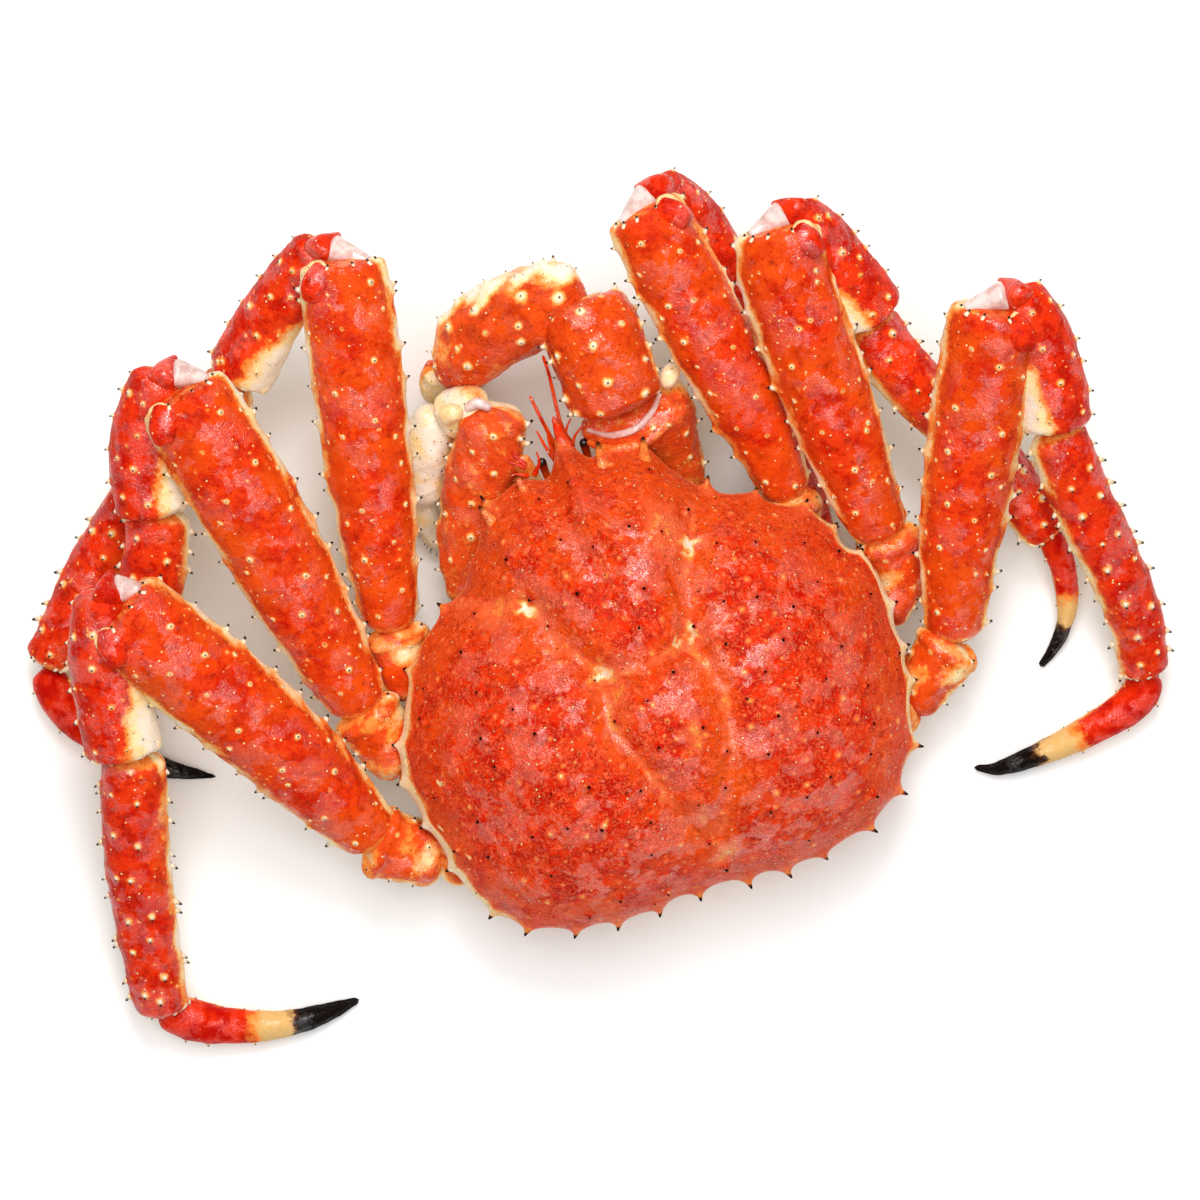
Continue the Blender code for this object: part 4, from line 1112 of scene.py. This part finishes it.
class Nodes:
    """A short way to write a material's nodes."""

    def __init__(self, name):
        self.material = bpy.data.materials.new(name)
        self.material.use_nodes = True
        self.tree = self.material.node_tree
        self.shader = self.tree.nodes["Principled BSDF"]
        place = self.make("TexCoord", {})["Object"]
        self.place = self.make("VectorMath", {0: place, "Scale": 1 / MM}, operation="SCALE")[0]

    def link(self, value, socket):
        if isinstance(value, (int, float, tuple)):
            socket.default_value = value
        else:
            self.tree.links.new(value, socket)

    def make(self, kind, inputs, **settings):
        """Makes a node, sets or links its inputs, and returns its outputs."""
        node = self.tree.nodes.new("ShaderNode" + kind)
        for name, setting in settings.items():
            setattr(node, name, setting)
        for name, value in inputs.items():
            self.link(value, node.inputs[name])
        return node.outputs

    def value(self, name):
        return self.make("Attribute", {}, attribute_name=name)["Fac"]

    def noise(self, size, detail=2.0, rough=0.5, distortion=0.0):
        """Noise whose features are about size millimetres."""
        inputs = {"Vector": self.place, "Scale": 1 / size, "Detail": detail, "Roughness": rough}
        return self.make("TexNoise", {**inputs, "Distortion": distortion})["Fac"]

    def math(self, operation, a, b=0.0):
        return self.make("Math", {0: a, 1: b}, operation=operation)[0]

    def add(self, a, b):
        return self.math("ADD", a, b)

    def times(self, a, b):
        return self.math("MULTIPLY", a, b)

    def sway(self, value, reach, size, detail, rough):
        """The value, moved up and down by noise whose features are about size millimetres."""
        shift = self.math("SUBTRACT", self.noise(size, detail, rough), 0.5)
        return self.add(value, self.times(shift, reach))

    def step(self, value, low, high, first=0.0, last=1.0):
        """Goes smoothly from first to last as the value goes from low to high."""
        inputs = {"Value": value, "From Min": low, "From Max": high, "To Min": first, "To Max": last}
        return self.make("MapRange", inputs, interpolation_type="SMOOTHSTEP")["Result"]

    def mix(self, a, b, factor):
        return self.make("Mix", {0: factor, 6: a, 7: b}, data_type="RGBA")[2]

    def paint(self, colour, layers):
        """Colours laid over one another, each where its own mask says, and on the shader's base."""
        for layer, mask in layers:
            colour = self.mix(colour, layer, mask)
        self.link(colour, self.shader.inputs["Base Color"])

    def dots(self, size, half_width, share):
        """A mask of round dots in a share of the cells."""
        cells = self.make("TexVoronoi", {"Vector": self.place, "Scale": 1 / size})
        random = self.make("SeparateColor", {0: cells["Color"]})[0]
        round_dot = self.step(cells["Distance"], half_width / size * 0.7, half_width / size, 1.0, 0.0)
        return self.times(round_dot, self.math("LESS_THAN", random, share))


def shell_material(name, warmth, specks, shaded_sides, squiggle_highlights, salmon_and_sheen, bumpiness):
    """Cooked shell: mottled scarlet and orange, cream where the pale value says, wet and finely wrinkled,
    with painted shade on its sides and painted highlights on its wrinkles and wet patches.
    """
    n = Nodes(name)
    patches = n.step(n.noise(20, 2), 0.36, 0.66)
    warm = n.add(n.add(n.value("warm"), n.times(patches, 0.45)), warmth)
    warm = n.sway(warm, 0.9, 2.2, 3, 0.65)
    pale = n.sway(n.value("pale"), 0.8, 3.0, 4, 0.65)
    wet = wet_patches(n)
    n.paint(SCARLET, [
        (ORANGE, n.step(warm, 0.1, 1.0)),
        (DEEP_RED, n.times(n.step(n.noise(8, 4, 0.65), 0.42, 0.6), n.step(warm, 0.15, 0.9, 1.0, 0.35))),
        (RUST, n.step(n.noise(4, 4, 0.75), 0.53, 0.72, 0.0, 0.75)),
        (DEEP_RED, n.step(n.value("dark"), 0.15, 0.7, 0.0, 0.8)),
        (SPECK, n.step(n.value("dark"), 0.75, 1.0, 0.0, 0.8)),
        # Painted shade: rust-red streaks over the dull sides, darker where less light falls on them
        (RUST, n.times(n.times(n.value("dull"), n.step(n.noise(7, 2, 0.6), 0.4, 0.65)), shaded_sides)),
        # Painted highlight: salmon glints along the squiggled wrinkles
        (SALMON_AND_GLINT, n.times(wrinkle_lines(n), squiggle_highlights)),
        # Painted sheen: salmon over the wet patches, besides their real gloss
        (SALMON_AND_GLINT, n.times(wet, 0.2 * salmon_and_sheen)),
        (SALMON_AND_GLINT, n.step(n.value("pale"), 0.06, 0.3, 0.0, 0.6 * salmon_and_sheen)),
        (AMBER, n.step(pale, 0.28, 0.5)),
        (CREAM, n.step(pale, 0.48, 0.8)),
        (BONE, n.step(pale, 0.78, 1.15)),
        (CREAM, n.times(n.dots(3.3, 0.5, 0.4), 0.8)),
        (SPECK, n.times(n.dots(2.4, 0.36, specks), 0.8)),
        (SPECK, n.times(n.dots(1.3, 0.2, specks), 0.6)),
        (n.mix(SKIN, SKIN_FOLD, n.step(n.noise(5, 2, 0.6), 0.4, 0.65)), n.value("skin")),
        (SPINE_BLACK, n.value("tip")),
    ])
    finish_wet(n, wet, bumpiness)
    return n.material


def wrinkle_lines(n):
    """Thin squiggled lines, 1 on a line and 0 between them."""
    from_middle = n.math("ABSOLUTE", n.math("SUBTRACT", n.noise(2.4, 1, 0.5, 1.2), 0.5))
    return n.step(from_middle, 0.02, 0.09, 1.0, 0.0)


def wet_patches(n):
    """Where the shell is wet, from 0 to 1. Dull sides and spine points stay dry."""
    wet = n.times(n.step(n.noise(12, 5, 0.65), 0.49, 0.54), n.step(n.value("dull"), 0.1, 0.9, 1.0, 0.1))
    return n.times(wet, n.step(n.value("tip"), 0.0, 0.5, 1.0, 0.0))


def finish_wet(n, wet, bumpiness):
    """Wet gloss in patches over fine pits and squiggled wrinkles."""
    n.link(n.add(n.times(wet, 0.9), 0.04), n.shader.inputs["Specular IOR Level"])
    n.link(n.step(n.noise(2.5, 3), 0.3, 0.7, 0.12, 0.32), n.shader.inputs["Roughness"])
    soft = n.math("MAXIMUM", n.value("skin"), n.step(n.value("pale"), 0.6, 1.0, 0.0, 0.7))
    height = n.times(n.times(wrinkle_lines(n), n.math("SUBTRACT", 1.0, soft)), 0.6)
    height = n.add(height, n.times(n.noise(1.2, 3, 0.65), 0.6))
    height = n.add(height, n.times(n.dots(3.3, 0.6, 0.4), 0.8))
    bump = n.make("Bump", {"Strength": bumpiness, "Distance": 0.5 * MM, "Height": height})
    n.link(bump["Normal"], n.shader.inputs["Normal"])


def tip_material():
    """The last segment of a leg: red at its base, cream and tan in the middle, black at the point."""
    n = Nodes("leg_tip")
    along = n.sway(n.value("along"), 0.22, 5, 4, 0.6)
    pale = n.sway(n.value("pale"), 0.6, 3.2, 4, 0.6)
    n.paint(DEEP_RED, [
        (SCARLET, n.step(n.noise(6, 3), 0.35, 0.6)),
        (AMBER, n.step(pale, 0.3, 0.6)),
        (CREAM, n.step(pale, 0.55, 0.85)),
        (AMBER, n.step(along, 0.42, 0.48)),
        (TAN, n.step(along, 0.47, 0.53)),
        (BROWN, n.step(along, 0.63, 0.68)),
        (SPINE_BLACK, n.step(along, 0.66, 0.72)),
        (SPINE_BLACK, n.value("tip")),
    ])
    finish_wet(n, n.times(wet_patches(n), 0.5), 0.5)
    return n.material


def eye_material():
    n = Nodes("eye")
    along = n.value("along")
    n.paint(ORANGE, [(RUST, n.step(along, 0.3, 0.8)), (SPINE_BLACK, n.step(along, 0.8, 0.9))])
    n.shader.inputs["Roughness"].default_value = 0.15
    return n.material


def floor_material():
    n = Nodes("floor")
    n.paint(FLOOR_WHITE, [(FLOOR_GREY, n.noise(60, 2))])
    n.shader.inputs["Roughness"].default_value = 0.9
    n.shader.inputs["Specular IOR Level"].default_value = 0.0
    return n.material


def make_stage():
    mesh = bpy.data.meshes.new("floor")
    corners = [(x * FLOOR_HALF, y * FLOOR_HALF, 0) for x, y in ((-1, -1), (1, -1), (1, 1), (-1, 1))]
    mesh.from_pydata(corners, [], [(0, 1, 2, 3)])
    mesh.materials.append(floor_material())
    add_object("floor", mesh)


def add_light(name, place, size, power):
    """A soft square light that faces the crab."""
    light = bpy.data.lights.new(name, "AREA")
    light.shape = "SQUARE"
    light.size = size
    light.energy = power
    lamp = add_object(name, light)
    lamp.location = place
    away = np.array(place, float)
    lamp.rotation_euler = (math.acos(away[2] / np.linalg.norm(away)), 0, math.atan2(away[0], -away[1]))


def make_lights():
    for light in LIGHTS:
        add_light(*light)
    world = bpy.data.worlds.new("studio")
    bpy.context.scene.world = world
    world.use_nodes = True
    background = world.node_tree.nodes["Background"]
    background.inputs["Color"].default_value = (1, 1, 1, 1)
    background.inputs["Strength"].default_value = WORLD_STRENGTH


def make_camera():
    camera = bpy.data.cameras.new("camera")
    camera.angle = math.radians(CAMERA_ANGLE)
    camera.clip_end = 20
    stand = add_object("camera", camera)
    stand.location = CAMERA_PLACE * MM
    bpy.context.scene.camera = stand


def main():
    materials = {name: shell_material(name, *looks) for name, looks in SHELL_LOOKS.items()}
    materials["leg_tip"] = tip_material()
    materials["eye"] = eye_material()
    make_camera()
    make_stage()
    make_lights()
    make_carapace(materials)
    make_legs(materials)
    make_claws(materials)
    make_front_pieces(materials)
    make_slabs(materials)
    bpy.context.scene.view_settings.view_transform = "Standard"


main()
